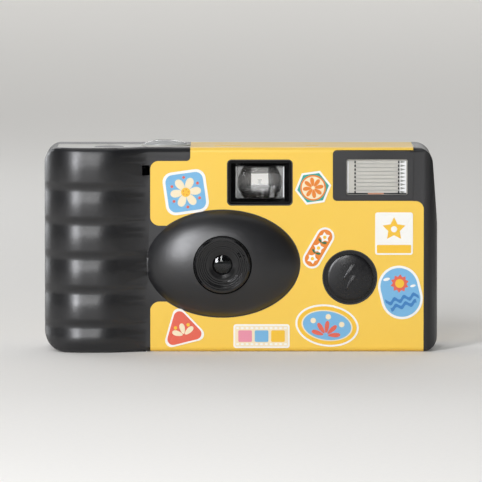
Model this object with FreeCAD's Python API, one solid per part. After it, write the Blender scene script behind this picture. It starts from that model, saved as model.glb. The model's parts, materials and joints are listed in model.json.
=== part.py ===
"""Single-use 35 mm film camera with a built-in flash, as an assembly of separate pieces.

Millimetres. X runs to the right as the lens is faced, Y runs back from the lens, Z is up.
The origin is at the bottom centre of the whole camera.
"""
import FreeCAD, Part
import math
import os

Vec = FreeCAD.Vector

# Casing
LEFT_ROOM = 4.3
RIGHT_ROOM = 3.9
HEAD_ROOM = 2.4
FRONT_Y = -10.5
BACK_Y = 16.5
WALL = 1.2
PARTING_Y = 4.0
FIT = 0.1
CORNER_TOP_LEFT = 4.5
CORNER_BOTTOM_LEFT = 6.5
CORNER_TOP_RIGHT = 5.0
CORNER_BOTTOM_RIGHT = 4.5
RIGHT_TAPER = 1.7
RIGHT_TAPER_Z = 37.0
FRONT_EDGE_R = 1.5
BACK_EDGE_R = 2.0
BACK_LEFT_R = 7.0
RIGHT_END_R = 4.0

# Grip
GRIP_BULGE = 5.3
GRIP_PEAK_X = -38.5
GRIP_END_X = -26.6
GRIP_SIDE_R = 12.0
GRIP_SLOPE_R = 14.0
GRIP_LEAN = 0.22
GRIP_TUCK = 0.3
RIB_COUNT = 6
TOP_RIB_REST = 1.5
RIB_DEPTH = 0.9
FIRST_VALLEY_Z = 8.3
RIB_FORM = ((0.0, 0.0), (0.08, 0.75), (0.2, 1.0), (0.5, 1.0), (0.68, 0.62), (0.86, 0.16))

# Wrap label
LABEL_THICKNESS = 0.2
LABEL_RECESS = 0.25
LABEL_LEFT = -26.5
LABEL_RIGHT_INSET = 4.0
LABEL_TOP_LEFT = -14.8
LABEL_TOP_INSET = 7.1
LABEL_NOTCH_DROP = 3.95
LABEL_CORNER_R = 2.4
LABEL_BITE_HALF = 10.75
LABEL_BITE_R = 2.8
LABEL_GAP = 0.35

# Lens
LENS_X = -5.4
DOME_HALF_WIDTH = 22.4
DOME_HALF_HEIGHT = 15.5
DOME_RISE = 6.1
DOME_SINK = 2.0
DOME_SECTIONS = 12
RETAINER_R = 8.05
RETAINER_PROUD = 0.6
FUNNEL_STEPS = 5
FUNNEL_INNER_R = 4.4
LENS_R = 2.55
LENS_FRONT_Y = -14.6
APERTURE_R = 1.5

# Viewfinder
FINDER_X = 5.5
FINDER_DROP = 10.3
FINDER_OPENING_W = 18.5
FINDER_OPENING_H = 12.8
FINDER_LENS_W = 14.3
FINDER_LENS_H = 9.5
FINDER_RECESS = 1.6
EYEPIECE_W = 10.0
EYEPIECE_H = 7.0

LIGHT_X = 20.5
LIGHT_R = 1.5

# Snap windows in the top
SLOT_LEFT = -7.7
SLOT_RIGHT = 18.8
SLOT_LENGTH = 7.8
SLOT_WIDTH = 1.6
SLOT_Y = -2.2

# Flash
FLASH_INSET = 17.7
FLASH_DROP = 8.7
FLASH_WINDOW_W = 17.9
FLASH_WINDOW_H = 10.5
FLASH_WINDOW_THICKNESS = 1.5
FLASH_FRAME_SIDE = 12.5
FLASH_FRAME_REACH = 6.6
FLASH_FRAME_TOP_DROP = 1.0
FLASH_FRAME_PROUD = 0.3
FLASH_RIBS = 9
FLASH_TUBE_R = 1.4
FLASH_TUBE_LENGTH = 23.0
REFLECTOR_DEPTH = 6.6
REFLECTOR_WALL = 0.4

# Flash electronics
BOARD_FRONT_Y = -6.9
BOARD_THICKNESS = 1.2
BATTERY_TO_BOARD = 2.2
BOARD_INSET = 2.8
BOARD_LOW_Z = 2.6
BOARD_TOP_GAP = 0.9
CAPACITOR_X = 48.6
CAPACITOR_R = 4.8
CAPACITOR_LENGTH = 27.0
TRANSFORMER_SIZE = 9.0
COIL_R = 2.2
COIL_LENGTH = 8.0
BATTERY_R = 5.25
BATTERY_LENGTH = 44.5
BATTERY_ROOM = 1.5
BATTERY_Y = -3.7
BATTERY_Z = 7.0

# Charge button
CHARGE_X = 31.75
CHARGE_DROP = 4.0
CHARGE_HOLE_R = 7.7
CHARGE_CAP_R = 6.7
CHARGE_TRAVEL = 0.7
CONTACT_HALF = 6.0
CONTACT_CREST = 1.3
CONTACT_WIDTH = 3.0

# Film path
FILM_WIDTH = 35.0
FILM_THICKNESS = 0.15
FILM_Y = 13.3
GATE_WIDTH = 36.0
GATE_HEIGHT = 24.0
SPOOL_ROOM = 1.6
CASSETTE_R = 12.5
CASSETTE_CAP = 3.9
CASSETTE_LOW_Z = 4.4
ROLL_X = 29.6
ROLL_Y = 5.4
ROLL_R = 9.5
CHAMBER_WALL = 0.8
CHAMBER_GAP = 0.3

# Frame and drive
FRAME_WALL = 1.0
DECK_THICKNESS = 1.1
ROLL_DECK_GAP = 0.4
ROLL_DECK_THICKNESS = 0.8
WHEEL_PROUD = 0.7
RATCHET_ROOM = 1.2
WHEEL_THICKNESS = 3.8
WHEEL_GRIPS = 40
RATCHET_R = 11.5
RATCHET_TEETH = 24
RATCHET_HEIGHT = 0.9
SPROCKET_X = -20.5
SPROCKET_Y = 7.3
SPROCKET_TEETH = 8
SPROCKET_ROOT_R = 5.3
SPROCKET_TOOTH = 0.6
SPROCKET_THICKNESS = 1.4
PERFORATION_FROM_EDGE = 3.4
SHAFT_R = 1.4
RUN_FIT = 0.06
CAM_R = 3.3
DIAL_X = -14.4
DIAL_Y = -0.1
DIAL_R = 7.9
DIAL_TEETH = 30
DIAL_ROOM = 1.6
DIAL_THICKNESS = 0.9

# Top plate and shutter button
TOP_THICKNESS = 1.3
TOP_EDGE = 2.3
TOP_LEFT_INSET = 3.7
TOP_RIGHT_INSET = 6.7
BUTTON_X = -38.5
BUTTON_Y = -3.5
BUTTON_R = 4.5
BUTTON_GAP = 0.2
BUTTON_TRAVEL = 1.0
DISH_R = 7.5
DISH_DEPTH = 0.8
WINDOW_X = -22.1
WINDOW_Y = -3.0
WINDOW_HALF_LENGTH = 6.2
WINDOW_HALF_WIDTH = 3.4
WINDOW_RISE = 1.7
WINDOW_SECTIONS = 6

# Shutter
BLADE_PIVOT_DX = 7.6
BLADE_PIVOT_DZ = 4.6
BLADE_R = 3.2
BLADE_THICKNESS = 0.3
BLADE_ARM = 3.0
TAIL_WIDTH = 1.6
TAIL_DX = 3.2
TAIL_DZ = 3.6
STRIKER_DX = 15.6
STRIKER_DZ = 2.6
STRIKER_ARM = 1.4
STRIKER_BOSS_R = 1.7
STRIKER_THICKNESS = 0.5
NOSE_GAP = 1.75
NOSE_DROP = 0.6
HEEL_DX = 1.2
HEEL_DZ = 4.2
PIN_R = 0.8

# Cassette hatch
HATCH_INSET = 4.1
HATCH_MARGIN = 0.2
HATCH_GAP = 0.25
HATCH_RING_INSET = 2.0

# Inner frame and optics
GATE_THICKNESS = 1.2
TUNNEL_W = 14.0
TUNNEL_H = 10.0
FRAME_FRONT_Y = -9.2
HUB_R = 3.0
LEVER_X = -26.4
LEVER_Y = 0.5
LEVER_WIDTH = 1.0
LEVER_GAP = 0.25
FORK_R = 2.4
FORK_DEPTH = 2.8
CORE_R = 5.6
CASSETTE_WALL = 0.3
ROLL_CORE_R = 3.4
PERFORATIONS = 9
PERFORATION_PITCH = 4.75
BUTTON_FLANGE = 0.6
SPRING_WIRE_R = 0.15
SPRING_TURNS = 1.5
PIN_WIRE_R = 0.1
COIL_STEPS = 12
HOLDER_Y = -12.4
HOLDER_THICKNESS = 0.8
FUNNEL_FLOOR_Y = -14.9
SHUTTER_PLATE_THICKNESS = 1.0
FINDER_LENS_THICKNESS = 2.4
FINDER_HOLLOW_R = 6.5
FLASH_WINDOW_RECESS = 0.6
LAMP_LENGTH = 4.6

# Covers' details
TONGUE_LOW_Z = 18.7
TONGUE_TOP_Z = 35.9
TONGUE_FRONT = -2.0
TONGUE_THICKNESS = 0.9
TONGUE_WINDOW = 7.3
LATCH_LEFT = -28.8
LATCH_WIDTH = 2.2
LATCH_DROP = 8.2
LATCH_HEIGHT = 3.0
WHEEL_SLOT = 18.0
THUMB_SCOOP_R = 9.0
FILM_PADS = 4
BRACKET_THICKNESS = 0.7
STEM_R = 1.2

# Heights that follow from the film, from the floor up
CASSETTE_HEIGHT = FILM_WIDTH + 2.0 * CASSETTE_CAP
CASSETTE_TOP_Z = CASSETTE_LOW_Z + CASSETTE_HEIGHT
LENS_Z = CASSETTE_LOW_Z + CASSETTE_HEIGHT / 2.0
FILM_LOW_Z = LENS_Z - FILM_WIDTH / 2.0
FILM_TOP_Z = LENS_Z + FILM_WIDTH / 2.0
ROLL_DECK_Z = FILM_TOP_Z + ROLL_DECK_GAP
DECK_Z = CASSETTE_TOP_Z + CHAMBER_GAP
FORK_LOW_Z = CASSETTE_TOP_Z - FORK_DEPTH
WHEEL_Z = DECK_Z + DECK_THICKNESS + RATCHET_ROOM
DIAL_Z = WHEEL_Z + WHEEL_THICKNESS + DIAL_ROOM
CASE_HEIGHT = DIAL_Z + DIAL_THICKNESS + HEAD_ROOM + TOP_THICKNESS
RIB_PITCH = (CASE_HEIGHT - FIRST_VALLEY_Z - TOP_RIB_REST) / (RIB_COUNT - 1)
FINDER_Z = CASE_HEIGHT - FINDER_DROP
FLASH_Z = CASE_HEIGHT - FLASH_DROP
FLASH_FRAME_LOW_Z = FLASH_Z - FLASH_FRAME_REACH
FLASH_FRAME_TOP_Z = CASE_HEIGHT - FLASH_FRAME_TOP_DROP
BOARD_TOP_Z = FLASH_FRAME_LOW_Z - BOARD_TOP_GAP
CHARGE_Z = LENS_Z - CHARGE_DROP
LATCH_Z = CASE_HEIGHT - LATCH_DROP
LABEL_NOTCH_Z = CASE_HEIGHT - LABEL_NOTCH_DROP
LABEL_FLASH_Z = FLASH_FRAME_LOW_Z - LABEL_GAP

# Places along the width, from the sprocket to the left and from the capacitor to the right
CHAMBER_R = CASSETTE_R + CHAMBER_GAP
SPOOL_X = SPROCKET_X - SPROCKET_ROOT_R - SPROCKET_TOOTH - SPOOL_ROOM - CASSETTE_R
LEFT_X = SPOOL_X - CASSETTE_R - LEFT_ROOM
RIGHT_X = CAPACITOR_X + CAPACITOR_R + RIGHT_ROOM
TOP_LEFT = LEFT_X + TOP_LEFT_INSET
TOP_RIGHT = RIGHT_X - TOP_RIGHT_INSET
HATCH_LEFT = LEFT_X + HATCH_INSET
HATCH_RIGHT = SPOOL_X + CHAMBER_R
LABEL_RIGHT = RIGHT_X - LABEL_RIGHT_INSET
LABEL_TOP_RIGHT = RIGHT_X - LABEL_TOP_INSET
FLASH_X = RIGHT_X - FLASH_INSET
FLASH_FRAME_LEFT = FLASH_X - FLASH_FRAME_SIDE
BOARD_RIGHT = RIGHT_X - BOARD_INSET
BATTERY_LEFT = SPOOL_X + CHAMBER_R + BATTERY_ROOM
BOARD_LEFT = BATTERY_LEFT + BATTERY_LENGTH + BATTERY_TO_BOARD

# Places from front to back
INNER_FRONT_Y = FRONT_Y + WALL
INNER_BACK_Y = BACK_Y - WALL
SPOOL_Y = INNER_BACK_Y - CHAMBER_GAP - CASSETTE_R
WHEEL_R = BACK_Y + WHEEL_PROUD - SPOOL_Y
HATCH_FRONT = SPOOL_Y - CASSETTE_R - HATCH_MARGIN
HATCH_BACK = INNER_BACK_Y - HATCH_MARGIN
HATCH_RING_R = CASSETTE_R - HATCH_RING_INSET
FAR = 200.0


def place(u, v, plane):
    """Puts a flat point into space: plane XY keeps z=0, XZ keeps y=0 and YZ keeps x=0."""
    if plane == "XY":
        return Vec(u, v, 0)
    if plane == "XZ":
        return Vec(u, 0, v)
    return Vec(0, u, v)


def rounded_face(corners, plane):
    """Flat face with corners given as (u, v, radius); radius 0 leaves the corner sharp."""
    ends = []
    count = len(corners)
    for index in range(count):
        u, v, radius = corners[index]
        before = corners[index - 1]
        after = corners[(index + 1) % count]
        ends.append(corner_points((u, v), before, after, radius))
    edges = []
    for index in range(count):
        start, middle, stop = ends[index]
        if middle is not None:
            edges.append(Part.Arc(place(*start, plane), place(*middle, plane), place(*stop, plane)).toShape())
        following = ends[(index + 1) % count][0]
        if math.dist(stop, following) > 1e-6:
            edges.append(Part.LineSegment(place(*stop, plane), place(*following, plane)).toShape())
    return Part.Face(Part.Wire(edges))


def corner_points(here, before, after, radius):
    """Start, middle and end of the arc that rounds one corner of an outline."""
    if radius <= 0:
        return here, None, here
    corner = Vec(here[0], here[1], 0)
    back = (Vec(before[0], before[1], 0) - corner).normalize()
    ahead = (Vec(after[0], after[1], 0) - corner).normalize()
    half = back.getAngle(ahead) / 2.0
    inward = (back + ahead).normalize()
    start = corner + back * (radius / math.tan(half))
    stop = corner + ahead * (radius / math.tan(half))
    middle = corner + inward * (radius / math.sin(half) - radius)
    return (start.x, start.y), (middle.x, middle.y), (stop.x, stop.y)


def slab(x0, x1, y0, y1, z0, z1):
    """Straight block between two corners."""
    return Part.makeBox(x1 - x0, y1 - y0, z1 - z0, Vec(x0, y0, z0))


def rod_x(y, z, radius, x0, x1):
    """Round bar along X."""
    return Part.makeCylinder(radius, x1 - x0, Vec(x0, y, z), Vec(1, 0, 0))


def rod_y(x, z, radius, y0, y1):
    """Round bar along Y."""
    return Part.makeCylinder(radius, y1 - y0, Vec(x, y0, z), Vec(0, 1, 0))


def rod_z(x, y, radius, z0, z1):
    """Round bar along Z."""
    return Part.makeCylinder(radius, z1 - z0, Vec(x, y, z0), Vec(0, 0, 1))


def along_x(face, x0, x1):
    """Pushes a YZ face from x0 to x1."""
    moved = face.copy()
    moved.translate(Vec(x0, 0, 0))
    return moved.extrude(Vec(x1 - x0, 0, 0))


def along_y(face, y0, y1):
    """Pushes an XZ face from y0 to y1."""
    moved = face.copy()
    moved.translate(Vec(0, y0, 0))
    return moved.extrude(Vec(0, y1 - y0, 0))


def along_z(face, z0, z1):
    """Pushes an XY face from z0 to z1."""
    moved = face.copy()
    moved.translate(Vec(0, 0, z0))
    return moved.extrude(Vec(0, 0, z1 - z0))


def rounded_box_y(x, z, width, height, radius, y0, y1):
    """Bar along Y with a rounded rectangle for its section."""
    half_w = width / 2.0
    half_h = height / 2.0
    face = rounded_face([(x - half_w, z - half_h, radius), (x + half_w, z - half_h, radius),
                         (x + half_w, z + half_h, radius), (x - half_w, z + half_h, radius)], "XZ")
    return along_y(face, y0, y1)


def ellipse_bar_y(x, z, half_w, half_h, y0, y1):
    """Bar along Y with an ellipse for its section."""
    curve = Part.Ellipse(Vec(x + half_w, y0, z), Vec(x, y0, z + half_h), Vec(x, y0, z))
    return Part.Face(Part.Wire([curve.toShape()])).extrude(Vec(0, y1 - y0, 0))


def turned_y(profile, x, z):
    """Turns a closed outline of (radius, y) points about the Y-going axis at (x, z)."""
    points = [Vec(x + radius, y, z) for radius, y in profile]
    face = Part.Face(Part.makePolygon(points + [points[0]]))
    return face.revolve(Vec(x, 0, z), Vec(0, 1, 0), 360)


def turned_z(profile, x, y):
    """Turns a closed outline of (radius, z) points about the upright axis at (x, y)."""
    points = [Vec(x + radius, y, z) for radius, z in profile]
    face = Part.Face(Part.makePolygon(points + [points[0]]))
    return face.revolve(Vec(x, y, 0), Vec(0, 0, 1), 360)


def toothed_face(x, y, root_r, tip_r, teeth, tip_share):
    """XY face of a toothed wheel: each tooth rises from the root circle to a flat tip."""
    points = []
    step = 2.0 * math.pi / teeth
    for tooth in range(teeth):
        centre = tooth * step
        for radius, offset in ((root_r, -0.5), (tip_r, -tip_share / 2.0), (tip_r, tip_share / 2.0)):
            angle = centre + offset * step
            points.append(Vec(x + radius * math.cos(angle), y + radius * math.sin(angle), 0))
    return Part.Face(Part.makePolygon(points + [points[0]]))


def keep_solid(shape):
    """The one solid of a shape that has one, cleaned of split faces."""
    clean = shape.removeSplitter()
    if len(clean.Solids) == 1:
        return clean.Solids[0]
    return clean


def elevation_face(inset):
    """Outline of the casing as seen from the front, drawn in by inset."""
    top_right_x = RIGHT_X - RIGHT_TAPER
    return rounded_face([(LEFT_X + inset, inset, CORNER_BOTTOM_LEFT - inset),
                         (RIGHT_X - inset, inset, CORNER_BOTTOM_RIGHT - inset),
                         (RIGHT_X - inset, RIGHT_TAPER_Z, 4.0 * CORNER_BOTTOM_RIGHT),
                         (top_right_x - inset, CASE_HEIGHT - inset, CORNER_TOP_RIGHT - inset),
                         (LEFT_X + inset, CASE_HEIGHT - inset, CORNER_TOP_LEFT - inset)], "XZ")


def profile_face(inset):
    """Outline of the casing as seen from the side, drawn in by inset."""
    front_r = max(FRONT_EDGE_R - inset, 0.2)
    back_r = max(BACK_EDGE_R - inset, 0.2)
    return rounded_face([(FRONT_Y + inset, inset, front_r), (BACK_Y - inset, inset, back_r),
                         (BACK_Y - inset, CASE_HEIGHT - inset, back_r),
                         (FRONT_Y + inset, CASE_HEIGHT - inset, front_r)], "YZ")


def plan_face(inset):
    """Outline of the casing as seen from above, without the grip's bulge."""
    return rounded_face([(LEFT_X + inset, FRONT_Y + inset, 0),
                         (RIGHT_X - inset, FRONT_Y + inset, RIGHT_END_R - inset),
                         (RIGHT_X - inset, BACK_Y - inset, RIGHT_END_R - inset),
                         (LEFT_X + inset, BACK_Y - inset, BACK_LEFT_R - inset)], "XY")


def casing_block(inset):
    """Plain casing without grip or dome: what its three outlines have in common."""
    from_front = along_y(elevation_face(inset), FRONT_Y - 1, BACK_Y + 1)
    from_side = along_x(profile_face(inset), LEFT_X - 1, RIGHT_X + 1)
    from_above = along_z(plan_face(inset), -1, CASE_HEIGHT + 1)
    return from_front.common(from_side).common(from_above)


def edge_inset(z, radius):
    """How far a rounded top or bottom edge lies behind its face at height z."""
    reach = max(min(z, CASE_HEIGHT - z), 0.0)
    if reach >= radius:
        return 0.0
    return radius - math.sqrt(max(radius ** 2 - (radius - reach) ** 2, 0.0))


def grip_section(z, swell, inset):
    """Plan outline of the grip at height z: swell moves its ribbed front, inset thins it."""
    side_x = LEFT_X + inset - GRIP_TUCK
    front_y = FRONT_Y - GRIP_BULGE + inset - swell
    end_y = FRONT_Y + inset + GRIP_TUCK + edge_inset(z, FRONT_EDGE_R)
    end_x = GRIP_END_X - GRIP_LEAN * inset
    face = rounded_face([(side_x, PARTING_Y + 1, 0), (side_x, front_y, GRIP_SIDE_R - inset),
                         (GRIP_PEAK_X - GRIP_LEAN * inset, front_y, GRIP_SLOPE_R - inset),
                         (end_x, end_y, 0), (end_x, PARTING_Y + 1, 0)], "XY")
    wire = face.OuterWire
    wire.translate(Vec(0, 0, z))
    return wire


def grip_levels():
    """Heights of the grip's sections, each with how far the ribs swell there."""
    levels = [(-1.0, -4.4), (0.0, -2.4), (0.5, -1.3), (1.2, -0.5), (2.4, 0.2 * RIB_DEPTH),
              (3.4, 0.9 * RIB_DEPTH), (5.0, 0.7 * RIB_DEPTH), (7.0, 0.16 * RIB_DEPTH)]
    for rib in range(RIB_COUNT - 2):
        low = FIRST_VALLEY_Z + rib * RIB_PITCH
        for share, height in RIB_FORM:
            levels.append((low + share * RIB_PITCH, height * RIB_DEPTH))
    low = FIRST_VALLEY_Z + (RIB_COUNT - 2) * RIB_PITCH
    levels += [(low + share * RIB_PITCH, height * RIB_DEPTH) for share, height in RIB_FORM[:4]]
    levels += [(low + 0.72 * RIB_PITCH, 0.8 * RIB_DEPTH), (low + 0.9 * RIB_PITCH, 0.3 * RIB_DEPTH)]
    levels += [(CASE_HEIGHT - 1.2, 0.0), (CASE_HEIGHT - 0.4, -0.5), (CASE_HEIGHT, -1.2),
               (CASE_HEIGHT + 1, -3.0)]
    return levels


def grip_solid():
    """Outer form of the grip: sections joined level by level, whose swell makes the finger ribs."""
    sections = [grip_section(z, swell, 0.0) for z, swell in grip_levels()]
    loft = Part.makeLoft(sections, True, True)
    in_front = slab(-FAR, FAR, -FAR, PARTING_Y, -FAR, FAR)
    return loft.common(along_y(elevation_face(0.0), -FAR, FAR)).common(in_front)


def grip_cavity():
    """Hollow of the grip, one wall inside the valleys between its ribs."""
    wire = grip_section(CASE_HEIGHT / 2.0, 0.0, WALL)
    wire.translate(Vec(0, 0, -CASE_HEIGHT / 2.0 - 1))
    hollow = Part.Face(wire).extrude(Vec(0, 0, CASE_HEIGHT + 2))
    return hollow.common(along_y(elevation_face(WALL), -FAR, FAR))


def dome_solid(inset):
    """Convex oval cap round the lens: ellipses that shrink along a quarter of an ellipse."""
    depth = DOME_RISE + DOME_SINK
    share = math.sqrt(1.0 - (DOME_SINK / depth) ** 2)
    half_w = DOME_HALF_WIDTH / share - inset
    half_h = DOME_HALF_HEIGHT / share - inset
    back = WALL / 2.0 if inset == 0 else WALL + 0.4
    first = math.asin((DOME_SINK - back) / (depth - inset))
    last = math.acos(0.9 * (RETAINER_R - inset) / half_w)
    sections = []
    for step in range(DOME_SECTIONS):
        angle = first + (last - first) * step / (DOME_SECTIONS - 1)
        y = FRONT_Y + DOME_SINK - (depth - inset) * math.sin(angle)
        wide = half_w * math.cos(angle)
        high = half_h * math.cos(angle)
        centre = Vec(LENS_X, y, LENS_Z)
        curve = Part.Ellipse(centre + Vec(wide, 0, 0), centre + Vec(0, 0, high), centre)
        sections.append(Part.Wire([curve.toShape()]))
    return Part.makeLoft(sections, True, True)


def label_prism(margin):
    """Outline of the wrap label as seen from the front, pushed through the whole camera."""
    face = rounded_face([(LABEL_LEFT - margin, -1, 0), (LABEL_RIGHT + margin, -1, 0),
                         (LABEL_RIGHT + margin, LABEL_FLASH_Z + margin, LABEL_CORNER_R),
                         (LABEL_TOP_RIGHT + margin, LABEL_FLASH_Z + margin, 0),
                         (LABEL_TOP_RIGHT + margin, CASE_HEIGHT + 1, 0),
                         (LABEL_TOP_LEFT - margin, CASE_HEIGHT + 1, 0),
                         (LABEL_TOP_LEFT - margin, LABEL_NOTCH_Z + margin, LABEL_CORNER_R / 2.0),
                         (LABEL_LEFT - margin, LABEL_NOTCH_Z + margin, LABEL_CORNER_R)], "XZ")
    return along_y(face, FRONT_Y - 1, BACK_Y + 1)


def label_front_gaps(margin):
    """Everything that shows through the front of the label, each a margin larger."""
    reach = (FRONT_Y - 1, FRONT_Y + LABEL_RECESS + 1)
    oval = ellipse_bar_y(LENS_X, LENS_Z, DOME_HALF_WIDTH + margin, DOME_HALF_HEIGHT + margin, *reach)
    half = LABEL_BITE_HALF + margin
    inner_x = LENS_X - DOME_HALF_WIDTH * math.sqrt(1.0 - (half / (DOME_HALF_HEIGHT + margin)) ** 2) + 1.0
    edge_x = LABEL_LEFT - 0.02
    low = LENS_Z - half
    high = LENS_Z + half
    bite = rounded_face([(edge_x - 2, low - LABEL_BITE_R - 1, 0), (edge_x, low - LABEL_BITE_R - 1, 0),
                         (edge_x, low, LABEL_BITE_R), (inner_x, low, 0), (inner_x, high, 0),
                         (edge_x, high, LABEL_BITE_R), (edge_x, high + LABEL_BITE_R + 1, 0),
                         (edge_x - 2, high + LABEL_BITE_R + 1, 0)], "XZ")
    gaps = oval.fuse(along_y(bite, *reach))
    finder = rounded_box_y(FINDER_X, FINDER_Z, FINDER_OPENING_W + 2 * margin,
                           FINDER_OPENING_H + 2 * margin, 1.0 + margin, *reach)
    frame_low = FLASH_FRAME_LOW_Z - margin
    flash_frame = rounded_face([(FLASH_FRAME_LEFT - margin, frame_low, 1.2), (FAR, frame_low, 0),
                                (FAR, FLASH_FRAME_TOP_Z + margin / 2.0, 0),
                                (FLASH_FRAME_LEFT - margin, FLASH_FRAME_TOP_Z + margin / 2.0, 1.2)], "XZ")
    charge = rod_y(CHARGE_X, CHARGE_Z, CHARGE_HOLE_R + margin, *reach)
    return gaps.fuse([finder, along_y(flash_frame, *reach), charge])


def label_back_gaps(margin):
    """The eyepiece that shows through the back of the label."""
    return rounded_box_y(FINDER_X, FINDER_Z, EYEPIECE_W + 3.0 + 2 * margin, EYEPIECE_H + 3.0 + 2 * margin,
                         1.5 + margin, BACK_Y - LABEL_RECESS - 1, BACK_Y + 1).fuse(
        rod_y(LIGHT_X, FINDER_Z, LIGHT_R + 0.6 + margin, BACK_Y - LABEL_RECESS - 1, BACK_Y + 1))


def label_slots():
    """Two snap windows in the top that the label leaves open."""
    back_y = SLOT_Y + SLOT_WIDTH
    slots = [slab(x, x + length, SLOT_Y, back_y, CASE_HEIGHT - 3, CASE_HEIGHT + 1)
             for x, length in ((SLOT_LEFT, SLOT_LENGTH), (SLOT_RIGHT, SLOT_LENGTH / 2.0))]
    return slots[0].fuse(slots[1])


def label_ring(outer_inset, inner_inset):
    """Sleeve between two copies of the casing's side outline."""
    outer = along_x(profile_face(outer_inset), LABEL_LEFT - 1, LABEL_RIGHT + 1)
    inner = along_x(profile_face(inner_inset), LABEL_LEFT - 2, LABEL_RIGHT + 2)
    return outer.cut(inner)


def label_recess():
    """Shallow bed in the covers that the label lies in."""
    bed = label_ring(-1.0, LABEL_RECESS).common(label_prism(0.0))
    return bed.cut(label_front_gaps(0.0)).cut(label_back_gaps(0.0))


def make_wrap_label():
    """Printed sleeve over the front, top, back and bottom of the casing."""
    sleeve = label_ring(LABEL_RECESS - LABEL_THICKNESS, LABEL_RECESS).common(label_prism(-0.05))
    for gaps in (label_front_gaps(LABEL_GAP), label_back_gaps(LABEL_GAP), label_slots()):
        sleeve = sleeve.cut(gaps)
    return keep_solid(sleeve)


def hatch_opening(gap):
    """Space of the bottom hatch through the casing's floor, larger by gap all round."""
    left = HATCH_LEFT - gap
    right = HATCH_RIGHT + gap
    front = HATCH_FRONT - gap
    back = HATCH_BACK + gap
    corners = [(left, front, 3.0), (right, front, 1.0), (right, back, 1.0), (left, back, 3.0)]
    return along_z(rounded_face(corners, "XY"), -1, WALL + 0.02)


def snap_tongue(gap):
    """Tongue on the left side that hooks the two covers together, larger by gap all round."""
    front = TONGUE_FRONT - gap
    low = TONGUE_LOW_Z - gap
    top = TONGUE_TOP_Z + gap
    back = PARTING_Y + 1
    face = rounded_face([(front, low, 1.2), (back, low, 0), (back, top, 0), (front, top, 1.2)], "YZ")
    return along_x(face, LEFT_X - 1, LEFT_X + TONGUE_THICKNESS + gap)


def snap_window(gap):
    """Window in the snap tongue that the hook of the front cover stands in."""
    middle_z = (TONGUE_LOW_Z + TONGUE_TOP_Z) / 2.0
    half = TONGUE_WINDOW / 2.0 - gap
    front = TONGUE_FRONT + 1.6 + gap
    back = TONGUE_FRONT + 4.4 - gap
    return slab(LEFT_X - 1, LEFT_X + TONGUE_THICKNESS + 0.3, front, back, middle_z - half, middle_z + half)


def top_plate_space(gap):
    """Space of the top plate between the front cover's rim and the parting line."""
    bottom = CASE_HEIGHT - TOP_THICKNESS
    grip = Part.Face(grip_section(0.0, 0.0, TOP_EDGE - gap)).extrude(Vec(0, 0, 1))
    grip = grip.common(slab(TOP_LEFT - gap, FAR, -FAR, FAR, -1, 2))
    middle = slab(GRIP_END_X - 1, TOP_RIGHT + gap, FRONT_Y + TOP_EDGE - gap, PARTING_Y, 0, 1)
    both = grip.fuse(middle).removeSplitter()
    roof = max(both.Faces, key=lambda face: face.CenterOfMass.z)
    roof = roof.copy()
    roof.translate(Vec(0, 0, bottom - 1.0))
    return roof.extrude(Vec(0, 0, TOP_THICKNESS + 1.0))


def make_front_cover():
    """Moulded front: ribbed grip, oval lens dome, flash frame and all front openings."""
    body = casing_block(0.0).common(slab(GRIP_END_X - 12, FAR, -FAR, PARTING_Y, -FAR, FAR))
    frame_corners = [(FLASH_FRAME_LEFT, FLASH_FRAME_LOW_Z, 1.2), (LABEL_TOP_RIGHT, FLASH_FRAME_LOW_Z, 1.2),
                     (LABEL_TOP_RIGHT, FLASH_FRAME_TOP_Z, 2.0), (FLASH_FRAME_LEFT, FLASH_FRAME_TOP_Z, 1.2)]
    frame_face = rounded_face(frame_corners, "XZ")
    frame = along_y(frame_face, FRONT_Y - FLASH_FRAME_PROUD, FRONT_Y + WALL)
    outside = body.fuse(grip_solid()).fuse(dome_solid(0.0)).fuse(frame)
    hollow = casing_block(WALL).common(slab(GRIP_END_X - 10, FAR, -FAR, PARTING_Y + 1, -FAR, FAR))
    shell = outside.cut(hollow.fuse(grip_cavity())).cut(dome_solid(WALL))
    shell = shell.fuse(tongue_backing())
    shell = shell.cut(snap_tongue(FIT)).fuse(hook_block())
    through = (FRONT_Y - 1, INNER_FRONT_Y + 1)
    latch = slab(LATCH_LEFT, LATCH_LEFT + LATCH_WIDTH, FRONT_Y - 4, INNER_FRONT_Y + 1,
                 LATCH_Z, LATCH_Z + LATCH_HEIGHT)
    holes = [rod_y(LENS_X, LENS_Z, RETAINER_R + FIT, -FAR, FRONT_Y),
             rounded_box_y(FINDER_X, FINDER_Z, FINDER_OPENING_W, FINDER_OPENING_H, 1.0, *through),
             rounded_box_y(FLASH_X, FLASH_Z, FLASH_WINDOW_W, FLASH_WINDOW_H, 0.6, *through),
             rod_y(CHARGE_X, CHARGE_Z, CHARGE_HOLE_R, *through),
             latch, top_plate_space(0.0), hatch_opening(HATCH_GAP), label_recess()]
    for hole in holes:
        shell = shell.cut(hole)
    return keep_solid(shell)


def tongue_backing():
    """Thicker stretch of the front cover's left wall behind the snap tongue."""
    return slab(LEFT_X + 0.6, LEFT_X + WALL + 0.9, TONGUE_FRONT - 2.0, PARTING_Y,
                TONGUE_LOW_Z - 2.0, TONGUE_TOP_Z + 2.0)


def hook_block():
    """Hook of the front cover that stands in the tongue's window."""
    hook = snap_window(2.0 * FIT)
    return hook.common(slab(LEFT_X + 0.4, FAR, -FAR, FAR, -FAR, FAR))


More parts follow.
